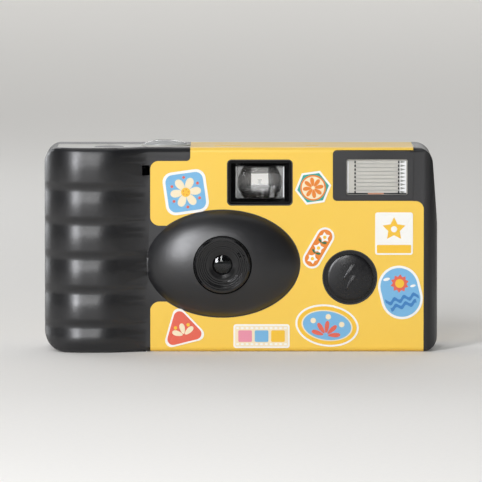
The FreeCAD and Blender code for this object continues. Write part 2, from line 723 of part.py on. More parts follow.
def make_rear_cover():
    """Moulded back: rounded tray with the eyepiece opening, wheel slot and film pads."""
    outside = casing_block(0.0).cut(slab(-FAR, FAR, -FAR, PARTING_Y, -FAR, FAR))
    hollow = casing_block(WALL).cut(slab(-FAR, FAR, -FAR, PARTING_Y - 2, -FAR, FAR))
    tongue = snap_tongue(0.0).common(casing_block_left_side()).cut(snap_window(0.0))
    shell = outside.cut(hollow).fuse(tongue)
    for level in range(FILM_PADS):
        z = FILM_LOW_Z + 2.0 + level * (FILM_WIDTH - 4.0) / (FILM_PADS - 1)
        pad = slab(LENS_X - GATE_WIDTH / 2.0, LENS_X + GATE_WIDTH / 2.0, FILM_Y + FILM_THICKNESS + 0.15,
                   INNER_BACK_Y + 0.2, z - 0.6, z + 0.6)
        shell = shell.fuse(pad)
    slot = slab(SPOOL_X - WHEEL_SLOT / 2.0, SPOOL_X + WHEEL_SLOT / 2.0, PARTING_Y + 3, BACK_Y + 1,
                WHEEL_Z - 0.6, WHEEL_Z + WHEEL_THICKNESS + 0.6)
    scoop = Part.makeCylinder(THUMB_SCOOP_R, WHEEL_SLOT + 6.0,
                              Vec(SPOOL_X - WHEEL_SLOT / 2.0 - 3.0, BACK_Y + THUMB_SCOOP_R - 0.8,
                                  WHEEL_Z + WHEEL_THICKNESS / 2.0), Vec(1, 0, 0))
    eyepiece = rounded_box_y(FINDER_X, FINDER_Z, EYEPIECE_W, EYEPIECE_H, 1.0, INNER_BACK_Y - 1, BACK_Y + 1)
    light = rod_y(LIGHT_X, FINDER_Z, LIGHT_R + FIT, INNER_BACK_Y - 1, BACK_Y + 1)
    for hole in [slot, scoop, eyepiece, light, hatch_opening(HATCH_GAP), label_recess()]:
        shell = shell.cut(hole)
    return keep_solid(shell)


def casing_block_left_side():
    """Casing form in front of the parting line at the left wall, for the snap tongue."""
    return slab(LEFT_X, LEFT_X + TONGUE_THICKNESS, -FAR, PARTING_Y + 0.5, 0, CASE_HEIGHT)


def make_top_plate():
    """Top plate with the finger dish, the button guide and the frame of the counter window."""
    top = CASE_HEIGHT
    plate = top_plate_space(-FIT).common(slab(-FAR, FAR, -FAR, PARTING_Y - FIT, 0, top))
    bowl = rod_z(BUTTON_X, BUTTON_Y, DISH_R - 0.5, top - TOP_THICKNESS - DISH_DEPTH, top - 0.5)
    collar = window_bar(1.1, top - 0.5, top + WINDOW_RISE * 0.25)
    plate = plate.fuse([bowl, collar, button_bracket()])
    ball_r = (DISH_R ** 2 + DISH_DEPTH ** 2) / (2.0 * DISH_DEPTH)
    dish = Part.makeSphere(ball_r, Vec(BUTTON_X, BUTTON_Y, top - DISH_DEPTH + ball_r))
    plate = plate.cut(dish).cut(rod_z(BUTTON_X, BUTTON_Y, BUTTON_R + BUTTON_GAP, top - 4.0, top + 1))
    plate = plate.cut(window_bar(FIT, top - 4.0, top + 4.0))
    return keep_solid(plate.cut(label_slots()).cut(label_recess()))


def button_bracket():
    """Two legs and a bar under the plate that guide the button's stem."""
    top = CASE_HEIGHT - TOP_THICKNESS + 0.1
    bar_low = bracket_low_z()
    front = BUTTON_Y - 1.9
    back = BUTTON_Y + 1.9
    bar = slab(BUTTON_X - DISH_R, BUTTON_X + DISH_R, front, back, bar_low, bar_low + BRACKET_THICKNESS)
    legs = [slab(x - 0.6, x + 0.6, front, back, bar_low, top)
            for x in (BUTTON_X - DISH_R + 0.6, BUTTON_X + DISH_R - 0.6)]
    bracket = bar.fuse(legs)
    return bracket.cut(rod_z(BUTTON_X, BUTTON_Y, STEM_R + RUN_FIT, bar_low - 1, bar_low + 2))


def bracket_low_z():
    """Underside of the bar that guides the button's stem, clear above the winding wheel."""
    return WHEEL_Z + WHEEL_THICKNESS + BUTTON_TRAVEL + 0.4


def window_bar(gap, z0, z1):
    """Upright bar with the outline of the counter window, larger by gap."""
    centre = Vec(WINDOW_X, WINDOW_Y, z0)
    rim = Part.Ellipse(centre + Vec(WINDOW_HALF_LENGTH + gap, 0, 0),
                       centre + Vec(0, WINDOW_HALF_WIDTH + gap, 0), centre)
    return Part.Face(Part.Wire([rim.toShape()])).extrude(Vec(0, 0, z1 - z0))


def make_counter_window():
    """Clear magnifier over the counter dial: an oval plug with a domed top."""
    base = CASE_HEIGHT - TOP_THICKNESS
    shoulder = CASE_HEIGHT + 0.25 * WINDOW_RISE
    crown = math.radians(64.0)
    sections = []
    for step in range(WINDOW_SECTIONS):
        angle = crown * step / (WINDOW_SECTIONS - 1)
        centre = Vec(WINDOW_X, WINDOW_Y, shoulder + 0.75 * WINDOW_RISE * math.sin(angle) / math.sin(crown))
        rim = Part.Ellipse(centre + Vec(WINDOW_HALF_LENGTH * math.cos(angle), 0, 0),
                           centre + Vec(0, WINDOW_HALF_WIDTH * math.cos(angle), 0), centre)
        sections.append(Part.Wire([rim.toShape()]))
    dome = Part.makeLoft(sections, True, True)
    plug = window_bar(0.0, base, shoulder)
    flange = window_bar(0.9, base - 0.9, base)
    return keep_solid(plug.fuse([dome, flange]))


def make_cassette_hatch():
    """Bottom lid under the film cassette, with the ring that the cassette stands on."""
    inside_case = casing_block(0.0).fuse(slab(HATCH_LEFT, HATCH_RIGHT, HATCH_FRONT, 0, 0, WALL))
    lid = hatch_opening(0.0).common(slab(-FAR, FAR, -FAR, FAR, 0, WALL)).common(inside_case)
    ring = rod_z(SPOOL_X, SPOOL_Y, HATCH_RING_R, WALL - 0.2, CASSETTE_LOW_Z - 0.2)
    ring = ring.cut(rod_z(SPOOL_X, SPOOL_Y, HATCH_RING_R - 1.0, WALL - 1, CASSETTE_LOW_Z + 1))
    return keep_solid(lid.fuse(ring))


def link_y(x0, z0, x1, z1, width, y0, y1):
    """Flat bar with round ends between two points of the XZ plane."""
    length = math.hypot(x1 - x0, z1 - z0)
    bar = slab(0, length, y0, y1, -width / 2.0, width / 2.0)
    bar.rotate(Vec(0, 0, 0), Vec(0, -1, 0), math.degrees(math.atan2(z1 - z0, x1 - x0)))
    bar.translate(Vec(x0, 0, z0))
    return bar.fuse([rod_y(x0, z0, width / 2.0, y0, y1), rod_y(x1, z1, width / 2.0, y0, y1)])


def link_z(x0, y0, x1, y1, width, z0, z1):
    """Flat bar with round ends between two points of the XY plane."""
    length = math.hypot(x1 - x0, y1 - y0)
    bar = slab(0, length, -width / 2.0, width / 2.0, z0, z1)
    bar.rotate(Vec(0, 0, 0), Vec(0, 0, 1), math.degrees(math.atan2(y1 - y0, x1 - x0)))
    bar.translate(Vec(x0, y0, 0))
    return bar.fuse([rod_z(x0, y0, width / 2.0, z0, z1), rod_z(x1, y1, width / 2.0, z0, z1)])


def tapered_form(x, z, front_size, back_size, y0, y1):
    """Straight-sided form between a front and a back rectangle, each (width, height)."""
    wires = []
    for y, (width, height) in ((y0, front_size), (y1, back_size)):
        corners = [Vec(x - width / 2.0, y, z - height / 2.0), Vec(x + width / 2.0, y, z - height / 2.0),
                   Vec(x + width / 2.0, y, z + height / 2.0), Vec(x - width / 2.0, y, z + height / 2.0)]
        wires.append(Part.makePolygon(corners + [corners[0]]))
    return Part.makeLoft(wires, True, True)


def chamber(x, y, radius, z0, z1):
    """Round-walled chamber that is open at the back cover."""
    wall = rod_z(x, y, radius + CHAMBER_WALL, z0, z1).cut(rod_z(x, y, radius, z0 - 1, z1 + 1))
    return wall.cut(slab(-FAR, FAR, INNER_BACK_Y - FIT, FAR, -FAR, FAR))


def make_main_frame():
    """Inner frame: light tunnel and film gate between the two film chambers, under a deck."""
    floor_z = WALL + 0.25
    gate_y = FILM_Y - GATE_THICKNESS - FIT
    left_x = SPOOL_X + CHAMBER_R
    right_x = ROLL_X - ROLL_R - CHAMBER_GAP
    roll_r = ROLL_R + CHAMBER_GAP
    mouth = (TUNNEL_W + 2 * FRAME_WALL, TUNNEL_H + 2 * FRAME_WALL)
    opening = (GATE_WIDTH + 2 * FRAME_WALL, GATE_HEIGHT + 2 * FRAME_WALL)
    tunnel = tapered_form(LENS_X, LENS_Z, mouth, opening, FRAME_FRONT_Y, gate_y + 0.1)
    half_plate = (GATE_WIDTH + FRAME_WALL) / 2.0
    pieces = [
        slab(LENS_X - half_plate, LENS_X + half_plate, FRAME_FRONT_Y, FRAME_FRONT_Y + FRAME_WALL,
             LENS_Z - 11.3, LENS_Z + 13.2),
        slab(left_x, right_x, gate_y, FILM_Y - FIT, FILM_LOW_Z - 2.2, FILM_TOP_Z + 1.3),
        slab(left_x, left_x + CHAMBER_WALL, SPOOL_Y, FILM_Y - FIT, floor_z, DECK_Z + 0.1),
        slab(right_x - CHAMBER_WALL, right_x, ROLL_Y, FILM_Y - FIT,
             floor_z, ROLL_DECK_Z + ROLL_DECK_THICKNESS),
        slab(left_x, right_x, gate_y, FILM_Y + 0.9, FILM_TOP_Z + 0.2, FILM_TOP_Z + 1.2),
        slab(left_x, right_x, gate_y, FILM_Y + 0.9, FILM_LOW_Z - 1.2, FILM_LOW_Z - 0.2),
        slab(left_x, right_x, BATTERY_Y + BATTERY_R + 1.6, FILM_Y - FIT, floor_z, floor_z + FRAME_WALL),
        chamber(SPOOL_X, SPOOL_Y, CHAMBER_R, floor_z + 1.2, DECK_Z + 0.1),
        chamber(ROLL_X, ROLL_Y, roll_r, floor_z + 4.0, ROLL_DECK_Z + 0.1),
        rod_z(ROLL_X, ROLL_Y, roll_r + CHAMBER_WALL, floor_z + 4.0, floor_z + 4.8),
        rod_z(ROLL_X, ROLL_Y, roll_r + CHAMBER_WALL, ROLL_DECK_Z, ROLL_DECK_Z + ROLL_DECK_THICKNESS),
        rod_z(SPOOL_X, SPOOL_Y, CHAMBER_R + CHAMBER_WALL, DECK_Z, DECK_Z + DECK_THICKNESS),
        slab(left_x - 2, FINDER_X - FINDER_OPENING_W / 2.0 - 1.2, FRAME_FRONT_Y, FILM_Y - FIT,
             DECK_Z, DECK_Z + DECK_THICKNESS),
        slab(DIAL_X + 1.8, DIAL_X + 1.8 + FRAME_WALL, FRAME_FRONT_Y, FILM_Y - FIT,
             LENS_Z + 5.0, DECK_Z + 0.1),
        rod_z(SPROCKET_X, SPROCKET_Y, SHAFT_R + 1.0, LENS_Z + 8.0, sprocket_low_z() - 0.15),
        rod_z(DIAL_X, DIAL_Y, SHAFT_R + 1.0, DECK_Z, DIAL_Z - 0.15),
        rod_z(DIAL_X, DIAL_Y, SHAFT_R, DECK_Z, DIAL_Z + DIAL_THICKNESS + 0.4),
        rod_z(LEVER_X, LEVER_Y, PIN_R + 0.8, DECK_Z, WHEEL_Z - RATCHET_HEIGHT - 0.05),
        rod_z(LEVER_X, LEVER_Y, PIN_R, DECK_Z, WHEEL_Z - 0.15),
    ]
    frame = tunnel
    for piece in pieces:
        frame = frame.fuse(piece)
    for x in (BATTERY_LEFT + 6.0, BATTERY_LEFT + BATTERY_LENGTH - 7.0):
        saddle = slab(x, x + 1.2, BATTERY_Y - BATTERY_R - 0.2, BATTERY_Y + BATTERY_R + 1.7,
                      floor_z, BATTERY_Z)
        frame = frame.fuse(saddle)
    light = tapered_form(LENS_X, LENS_Z, (TUNNEL_W, TUNNEL_H), (GATE_WIDTH, GATE_HEIGHT),
                         FRAME_FRONT_Y, gate_y)
    low = sprocket_low_z()
    holes = [
        light, slab(LENS_X - TUNNEL_W / 2.0, LENS_X + TUNNEL_W / 2.0, FRAME_FRONT_Y - 1, FRAME_FRONT_Y + 0.1,
                    LENS_Z - TUNNEL_H / 2.0, LENS_Z + TUNNEL_H / 2.0),
        slab(LENS_X - GATE_WIDTH / 2.0, LENS_X + GATE_WIDTH / 2.0, gate_y - 0.1, FILM_Y + 1,
             LENS_Z - GATE_HEIGHT / 2.0, LENS_Z + GATE_HEIGHT / 2.0),
        rod_x(BATTERY_Y, BATTERY_Z, BATTERY_R + FIT, BATTERY_LEFT - 1, BATTERY_LEFT + BATTERY_LENGTH + 1),
        slab(SPROCKET_X - 6.4, SPROCKET_X + 6.4, gate_y - 1, FILM_Y + 0.1,
             low - 0.3, low + SPROCKET_THICKNESS + 0.3),
        rod_z(SPROCKET_X, SPROCKET_Y, SPROCKET_ROOT_R + SPROCKET_TOOTH + 0.3,
              low - 0.1, low + SPROCKET_THICKNESS + 0.3),
        rod_z(SPROCKET_X, SPROCKET_Y, SHAFT_R - 0.4 + RUN_FIT, low - 2.0, low),
        rod_z(SPROCKET_X, SPROCKET_Y, SHAFT_R + RUN_FIT, DECK_Z - 1, DECK_Z + DECK_THICKNESS + 1),
        rod_z(SPOOL_X, SPOOL_Y, HUB_R + RUN_FIT, DECK_Z - 1, DECK_Z + DECK_THICKNESS + 1),
        rod_z(ROLL_X, ROLL_Y, SHAFT_R + RUN_FIT, floor_z + 3, floor_z + 6),
        rod_z(ROLL_X, ROLL_Y, SHAFT_R + RUN_FIT, ROLL_DECK_Z - 1, ROLL_DECK_Z + 2),
        slab(SPOOL_X + 2.5, left_x - 0.05, SPOOL_Y + 7.5, FAR, 0, DECK_Z),
        slab(right_x + 0.05, ROLL_X - 1.0, FILM_Y - 0.9, FAR, floor_z + 4.9, ROLL_DECK_Z - 0.05),
        slab(-FAR, FAR, INNER_BACK_Y - FIT, FAR, -FAR, FAR),
    ]
    for hole in holes:
        frame = frame.cut(hole)
    return keep_solid(frame)


def sprocket_low_z():
    """Underside of the sprocket, whose middle is level with the upper row of perforations."""
    return FILM_TOP_Z - PERFORATION_FROM_EDGE - SPROCKET_THICKNESS / 2.0


def make_lens_retainer():
    """Ring round the lens: a funnel of fine steps down to the lens opening."""
    front_y = FRONT_Y - DOME_RISE - RETAINER_PROUD
    outline = [(RETAINER_R, HOLDER_Y - 0.1), (RETAINER_R, front_y + 0.5), (RETAINER_R - 0.45, front_y)]
    rim_r = RETAINER_R - 0.85
    run = (rim_r - FUNNEL_INNER_R) / FUNNEL_STEPS
    drop = (FUNNEL_FLOOR_Y - front_y) / FUNNEL_STEPS
    for step in range(FUNNEL_STEPS):
        radius = rim_r - step * run
        outline.append((radius, front_y + step * drop))
        outline.append((radius - 0.15, front_y + (step + 1) * drop))
    outline += [(FUNNEL_INNER_R, FUNNEL_FLOOR_Y), (LENS_R + 0.4, FUNNEL_FLOOR_Y + 0.2),
                (LENS_R + 0.4, FUNNEL_FLOOR_Y + 0.6), (FUNNEL_INNER_R + 0.3, FUNNEL_FLOOR_Y + 0.6),
                (RETAINER_R - 1.0, front_y + 1.4), (RETAINER_R - 1.0, HOLDER_Y - 0.1)]
    return keep_solid(turned_y(outline, LENS_X, LENS_Z))


def make_taking_lens():
    """Moulded meniscus lens, hollow towards the film."""
    back_y = LENS_FRONT_Y + 1.4
    front_ball = Part.makeSphere(9.0, Vec(LENS_X, LENS_FRONT_Y + 9.0, LENS_Z))
    back_ball = Part.makeSphere(12.0, Vec(LENS_X, back_y + 12.0, LENS_Z))
    blank = rod_y(LENS_X, LENS_Z, LENS_R, LENS_FRONT_Y - 1, back_y + 0.3)
    return keep_solid(blank.common(front_ball).cut(back_ball))


def make_lens_holder():
    """Disc with the aperture and the collar that the lens drops into."""
    collar_front = LENS_FRONT_Y + 0.6
    collar_r = LENS_R + 0.05
    outline = [(APERTURE_R, HOLDER_Y + HOLDER_THICKNESS), (RETAINER_R + 0.6, HOLDER_Y + HOLDER_THICKNESS),
               (RETAINER_R + 0.6, HOLDER_Y), (collar_r + 1.0, HOLDER_Y), (collar_r + 1.0, collar_front),
               (collar_r, collar_front), (collar_r, LENS_FRONT_Y + 1.75), (APERTURE_R, LENS_FRONT_Y + 1.75)]
    return keep_solid(turned_y(outline, LENS_X, LENS_Z))


def blade_pivot():
    """Pivot of the shutter blade as (x, z)."""
    return LENS_X + BLADE_PIVOT_DX, LENS_Z + BLADE_PIVOT_DZ


def striker_pivot():
    """Pivot of the striker lever as (x, z)."""
    return LENS_X + STRIKER_DX, LENS_Z + STRIKER_DZ


def make_shutter_plate():
    """Oval plate on the frame that carries the shutter's pivots and the lens holder."""
    y1 = FRAME_FRONT_Y
    y0 = y1 - SHUTTER_PLATE_THICKNESS
    plate = ellipse_bar_y(LENS_X, LENS_Z, DOME_HALF_WIDTH - 4.4, DOME_HALF_HEIGHT - 4.0, y0, y1)
    plate = plate.cut(rod_y(LENS_X, LENS_Z, APERTURE_R + 0.9, y0 - 1, y1 + 1))
    for x, z in (blade_pivot(), striker_pivot()):
        plate = plate.fuse(rod_y(x, z, PIN_R, HOLDER_Y + HOLDER_THICKNESS + 0.1, y0 + 0.1))
    for dx, dz in ((-7.5, -4.0), (2.0, -8.6), (-5.0, 7.2)):
        leg = rod_y(LENS_X + dx, LENS_Z + dz, PIN_R, HOLDER_Y + HOLDER_THICKNESS, y0 + 0.1)
        plate = plate.fuse(leg)
    return keep_solid(plate)


def blade_y():
    """Front face of the shutter blade, in the middle of its space."""
    space = FRAME_FRONT_Y - SHUTTER_PLATE_THICKNESS - (HOLDER_Y + HOLDER_THICKNESS)
    return HOLDER_Y + HOLDER_THICKNESS + 0.35 * space


def make_shutter_blade():
    """Thin blade: a round flag over the aperture, an arm to the pivot and a tail to strike."""
    x, z = blade_pivot()
    y0 = blade_y()
    y1 = y0 + BLADE_THICKNESS
    flag = rod_y(LENS_X, LENS_Z, BLADE_R, y0, y1)
    arm = link_y(LENS_X, LENS_Z, x, z, BLADE_ARM, y0, y1)
    tail = link_y(x, z, x + TAIL_DX, z + TAIL_DZ, TAIL_WIDTH, y0, y1)
    blade = flag.fuse([arm, tail])
    return keep_solid(blade.cut(rod_y(x, z, PIN_R + RUN_FIT, y0 - 1, y1 + 1)))


def make_striker_lever():
    """Sprung lever whose nose knocks the tail of the shutter blade."""
    x, z = striker_pivot()
    pivot_x, pivot_z = blade_pivot()
    y0 = blade_y() + (BLADE_THICKNESS - STRIKER_THICKNESS) / 2.0
    y1 = y0 + STRIKER_THICKNESS
    nose = link_y(x, z, pivot_x + TAIL_DX + NOSE_GAP, pivot_z + TAIL_DZ - NOSE_DROP, STRIKER_ARM, y0, y1)
    heel = link_y(x, z, x + HEEL_DX, z - HEEL_DZ, STRIKER_ARM, y0, y1)
    lever = nose.fuse([rod_y(x, z, STRIKER_BOSS_R, y0, y1), heel])
    return keep_solid(lever.cut(rod_y(x, z, PIN_R + RUN_FIT, y0 - 1, y1 + 1)))


def wound_coil(start_r, end_r, rise, wire_r, turns):
    """Coil about the Z axis from z=0 up, of square wire; its radius may change as it climbs."""
    steps = int(COIL_STEPS * turns)
    sections = []
    for step in range(steps + 1):
        share = step / steps
        angle = 2.0 * math.pi * turns * share
        radius = start_r + (end_r - start_r) * share
        corners = []
        for out, up in ((-wire_r, -wire_r), (wire_r, -wire_r), (wire_r, wire_r), (-wire_r, wire_r)):
            corners.append(Vec((radius + out) * math.cos(angle), (radius + out) * math.sin(angle),
                               rise * share + up))
        sections.append(Part.makePolygon(corners + [corners[0]]))
    return Part.makeLoft(sections, True, True)


def pin_spring(x, z, y0, turns):
    """Torsion spring about a pin along Y, with one leg that runs out beyond the coil."""
    radius = PIN_R + 0.45
    coil = wound_coil(radius, radius, 0.22 * turns, PIN_WIRE_R, turns)
    coil.rotate(Vec(0, 0, 0), Vec(1, 0, 0), -90)
    coil.translate(Vec(x, y0 + PIN_WIRE_R, z))
    leg = slab(x + radius - PIN_WIRE_R, x + radius + PIN_WIRE_R, y0, y0 + 2.0 * PIN_WIRE_R, z - 2.6, z)
    return keep_solid(coil.fuse(leg))


def make_blade_spring():
    """Return spring of the shutter blade, coiled round its pin."""
    x, z = blade_pivot()
    return pin_spring(x, z, blade_y() + BLADE_THICKNESS + 0.08, 1.0)


def make_striker_spring():
    """Drive spring of the striker lever, coiled round its pin."""
    x, z = striker_pivot()
    return pin_spring(x, z, blade_y() + BLADE_THICKNESS + 0.14, 1.0)


def make_sync_contact():
    """Leaf on the shutter plate that fires the flash when the blade is open."""
    y1 = FRAME_FRONT_Y - SHUTTER_PLATE_THICKNESS
    x, z = striker_pivot()
    foot = slab(x - 5.6, x - 2.6, y1 - 0.2, y1, z - 8.4, z - 5.4)
    leaf = slab(x - 5.6, x - 5.0, y1 - 0.9, y1, z - 8.4, z - 4.6)
    return keep_solid(foot.fuse(leaf))


def make_viewfinder_housing():
    """Finder tube: bezel behind the front opening, lens pocket and a tunnel to the eyepiece."""
    bezel_y = FRONT_Y + FINDER_RECESS
    lens_y = bezel_y + 1.2
    back_y = INNER_BACK_Y - 1.4
    pocket = (FINDER_LENS_W + 1.0, FINDER_LENS_H + 1.0)
    sleeve = rounded_box_y(FINDER_X, FINDER_Z, FINDER_OPENING_W - 2 * FIT, FINDER_OPENING_H - 2 * FIT, 0.9,
                           FRONT_Y + 0.35, lens_y + FINDER_LENS_THICKNESS + 0.3)
    flange = rounded_box_y(FINDER_X, FINDER_Z, FINDER_OPENING_W + 1.6, FINDER_OPENING_H + 1.4, 1.6,
                           INNER_FRONT_Y + 0.1, INNER_FRONT_Y + 0.9)
    tunnel = tapered_form(FINDER_X, FINDER_Z, (pocket[0] + 2.0, pocket[1] + 1.6),
                          (EYEPIECE_W + 1.6, EYEPIECE_H + 1.6), lens_y, back_y)
    shell = sleeve.fuse([flange, tunnel])
    mouth = tapered_form(FINDER_X, FINDER_Z, (FINDER_LENS_W + 2.6, FINDER_LENS_H + 1.8),
                         (FINDER_LENS_W, FINDER_LENS_H), FRONT_Y + 0.35, bezel_y + 0.4)
    throat = slab(FINDER_X - FINDER_LENS_W / 2.0, FINDER_X + FINDER_LENS_W / 2.0, bezel_y, lens_y + 0.1,
                  FINDER_Z - FINDER_LENS_H / 2.0, FINDER_Z + FINDER_LENS_H / 2.0)
    seat = slab(FINDER_X - pocket[0] / 2.0, FINDER_X + pocket[0] / 2.0,
                lens_y, lens_y + FINDER_LENS_THICKNESS + 0.2,
                FINDER_Z - pocket[1] / 2.0, FINDER_Z + pocket[1] / 2.0)
    sight = tapered_form(FINDER_X, FINDER_Z, (FINDER_LENS_W - 0.6, FINDER_LENS_H - 0.6),
                         (EYEPIECE_W - 1.0, EYEPIECE_H - 1.0), lens_y, back_y)
    end = slab(FINDER_X - EYEPIECE_W / 2.0 + 0.5, FINDER_X + EYEPIECE_W / 2.0 - 0.5, back_y - 0.1, back_y + 1,
               FINDER_Z - EYEPIECE_H / 2.0 + 0.5, FINDER_Z + EYEPIECE_H / 2.0 - 0.5)
    for hole in (mouth, throat, seat, sight, end):
        shell = shell.cut(hole)
    return keep_solid(shell)


def make_viewfinder_front_lens():
    """Square-cut negative lens with a round hollow in its front."""
    lens_y = FRONT_Y + FINDER_RECESS + 1.2 + 0.1
    width = FINDER_LENS_W + 0.8
    height = FINDER_LENS_H + 0.8
    blank = slab(FINDER_X - width / 2.0, FINDER_X + width / 2.0, lens_y, lens_y + FINDER_LENS_THICKNESS,
                 FINDER_Z - height / 2.0, FINDER_Z + height / 2.0)
    sag = FINDER_LENS_THICKNESS * 0.6
    ball_r = (FINDER_HOLLOW_R ** 2 + sag ** 2) / (2.0 * sag)
    ball = Part.makeSphere(ball_r, Vec(FINDER_X, lens_y + sag - ball_r, FINDER_Z))
    return keep_solid(blank.cut(ball))


def make_viewfinder_eyepiece():
    """Small convex lens in the opening of the rear cover."""
    back_y = BACK_Y - 0.3
    front_y = INNER_BACK_Y - 1.3
    blank = rounded_box_y(FINDER_X, FINDER_Z, EYEPIECE_W - 2 * FIT, EYEPIECE_H - 2 * FIT, 0.9,
                          front_y, back_y)
    ball_r = 24.0
    ball = Part.makeSphere(ball_r, Vec(FINDER_X, back_y - ball_r, FINDER_Z))
    return keep_solid(blank.common(ball))


def make_flash_window():
    """Clear window of the flash with a row of prisms on its inner side."""
    flange_y = INNER_FRONT_Y + 0.05
    back_y = flange_y + FLASH_WINDOW_THICKNESS / 2.0
    front = rounded_box_y(FLASH_X, FLASH_Z, FLASH_WINDOW_W - 2 * FIT, FLASH_WINDOW_H - 2 * FIT, 0.5,
                          FRONT_Y + FLASH_WINDOW_RECESS, flange_y + 0.1)
    flange = rounded_box_y(FLASH_X, FLASH_Z, FLASH_WINDOW_W + 2.4, FLASH_WINDOW_H + 2.2, 0.8,
                           flange_y, back_y)
    window = front.fuse(flange)
    pitch = (FLASH_WINDOW_H - 0.6) / FLASH_RIBS
    for rib in range(FLASH_RIBS):
        z = FLASH_Z + (rib - (FLASH_RIBS - 1) / 2.0) * pitch
        prism = Part.Face(Part.makePolygon([Vec(0, back_y - 0.05, z - 0.45 * pitch), Vec(0, back_y + 0.35, z),
                                            Vec(0, back_y - 0.05, z + 0.45 * pitch),
                                            Vec(0, back_y - 0.05, z - 0.45 * pitch)]))
        window = window.fuse(along_x(prism, FLASH_X - FLASH_WINDOW_W / 2.0 + 0.6,
                                     FLASH_X + FLASH_WINDOW_W / 2.0 - 0.6))
    return keep_solid(window)


def reflector_front_y():
    """Front edge of the flash reflector, close behind the window's flange."""
    return INNER_FRONT_Y + FLASH_WINDOW_THICKNESS / 2.0 + 0.15


def trough(depth, half_height, x0, x1):
    """Bar along X whose section is a round trough, open to the front."""
    y0 = reflector_front_y()
    arc = Part.Arc(Vec(0, y0, FLASH_Z - half_height), Vec(0, y0 + depth, FLASH_Z),
                   Vec(0, y0, FLASH_Z + half_height)).toShape()
    chord = Part.makeLine(Vec(0, y0, FLASH_Z + half_height), Vec(0, y0, FLASH_Z - half_height))
    return along_x(Part.Face(Part.Wire([arc, chord])), x0, x1)


def make_flash_reflector():
    """Bright trough round the flash tube, closed at both ends."""
    half = FLASH_WINDOW_W / 2.0 + 0.2
    outer = trough(REFLECTOR_DEPTH, FLASH_WINDOW_H / 2.0 + 0.7, FLASH_X - half, FLASH_X + half)
    inner = trough(REFLECTOR_DEPTH - REFLECTOR_WALL, FLASH_WINDOW_H / 2.0 + 0.7 - REFLECTOR_WALL,
                   FLASH_X - half + REFLECTOR_WALL, FLASH_X + half - REFLECTOR_WALL)
    tube = rod_x(flash_tube_y(), FLASH_Z, FLASH_TUBE_R + FIT, FLASH_X - half - 1, FLASH_X + half + 1)
    return keep_solid(outer.cut(inner).cut(tube))


def flash_tube_y():
    """Depth of the flash tube in the reflector."""
    return reflector_front_y() + REFLECTOR_DEPTH - REFLECTOR_WALL - FLASH_TUBE_R - 0.7


def make_flash_tube():
    """Glass flash tube with a waist at each end where it is sealed."""
    half = FLASH_TUBE_LENGTH / 2.0
    tube = rod_x(flash_tube_y(), FLASH_Z, FLASH_TUBE_R, FLASH_X - half, FLASH_X + half)
    for side in (-1, 1):
        end = FLASH_X + side * half
        seal = rod_x(flash_tube_y(), FLASH_Z, FLASH_TUBE_R * 0.6, min(end, end + side * 1.5),
                     max(end, end + side * 1.5))
        tube = tube.fuse(seal)
    return keep_solid(tube)


def make_flash_board():
    """Circuit board of the flash, with a tab up to the ready lamp."""
    outline = rounded_face([(BOARD_LEFT, BOARD_LOW_Z, 0.6), (BOARD_RIGHT, BOARD_LOW_Z, 1.5),
                            (BOARD_RIGHT, BOARD_TOP_Z, 0.6), (LIGHT_X + 2.6, BOARD_TOP_Z, 0.3),
                            (LIGHT_X + 2.6, FINDER_Z + 2.6, 0.6), (LIGHT_X - 2.4, FINDER_Z + 2.6, 0.6),
                            (LIGHT_X - 2.4, BATTERY_Z + BATTERY_R + 4.0, 0.6),
                            (BOARD_LEFT, BATTERY_Z + BATTERY_R + 4.0, 0.3)], "XZ")
    board = along_y(outline, BOARD_FRONT_Y, BOARD_FRONT_Y + BOARD_THICKNESS)
    return keep_solid(board)


def board_back_y():
    """Back face of the flash board."""
    return BOARD_FRONT_Y + BOARD_THICKNESS


def make_capacitor():
    """Flash capacitor: a can with a rolled groove near its lower end."""
    z0 = BOARD_LOW_Z + 1.4
    y = board_back_y() + CAPACITOR_R + 0.2
    z1 = z0 + CAPACITOR_LENGTH
    outline = [(0, z0), (CAPACITOR_R - 0.4, z0), (CAPACITOR_R, z0 + 0.4), (CAPACITOR_R, z0 + 2.4),
               (CAPACITOR_R - 0.5, z0 + 2.9), (CAPACITOR_R, z0 + 3.4), (CAPACITOR_R, z1 - 0.4),
               (CAPACITOR_R - 0.4, z1), (0, z1)]
    return keep_solid(turned_z(outline, CAPACITOR_X, y))


def make_transformer():
    """Step-up transformer: winding between two end flanges on a square core."""
    size = TRANSFORMER_SIZE
    x0 = CAPACITOR_X - size / 2.0 - 2.2
    y0 = board_back_y()
    z0 = BOARD_LOW_Z + CAPACITOR_LENGTH + 3.0
    flanges = [slab(x0, x0 + size, y0, y0 + size, z, z + 1.2) for z in (z0, z0 + size - 1.2)]
    winding = rod_z(x0 + size / 2.0, y0 + size / 2.0, size / 2.0 - 0.5, z0, z0 + size)
    return keep_solid(winding.fuse(flanges))


def make_trigger_coil():
    """Small trigger coil beside the transformer."""
    x = CAPACITOR_X - 2.2 + TRANSFORMER_SIZE / 2.0 + COIL_R + 0.3
    z0 = BOARD_LOW_Z + CAPACITOR_LENGTH + 3.4
    return rod_z(x, board_back_y() + COIL_R, COIL_R, z0, z0 + COIL_LENGTH)


def make_ready_lamp():
    """Glow lamp that stands behind the tab of the board."""
    y0 = board_back_y() + 0.1
    lamp = rod_y(LIGHT_X, FINDER_Z, LIGHT_R + 0.4, y0, y0 + LAMP_LENGTH - 1.0)
    tip = Part.makeSphere(LIGHT_R + 0.4, Vec(LIGHT_X, y0 + LAMP_LENGTH - 1.0, FINDER_Z))
    tip = tip.common(slab(-FAR, FAR, y0, y0 + LAMP_LENGTH, -FAR, FAR))
    return keep_solid(lamp.fuse(tip))


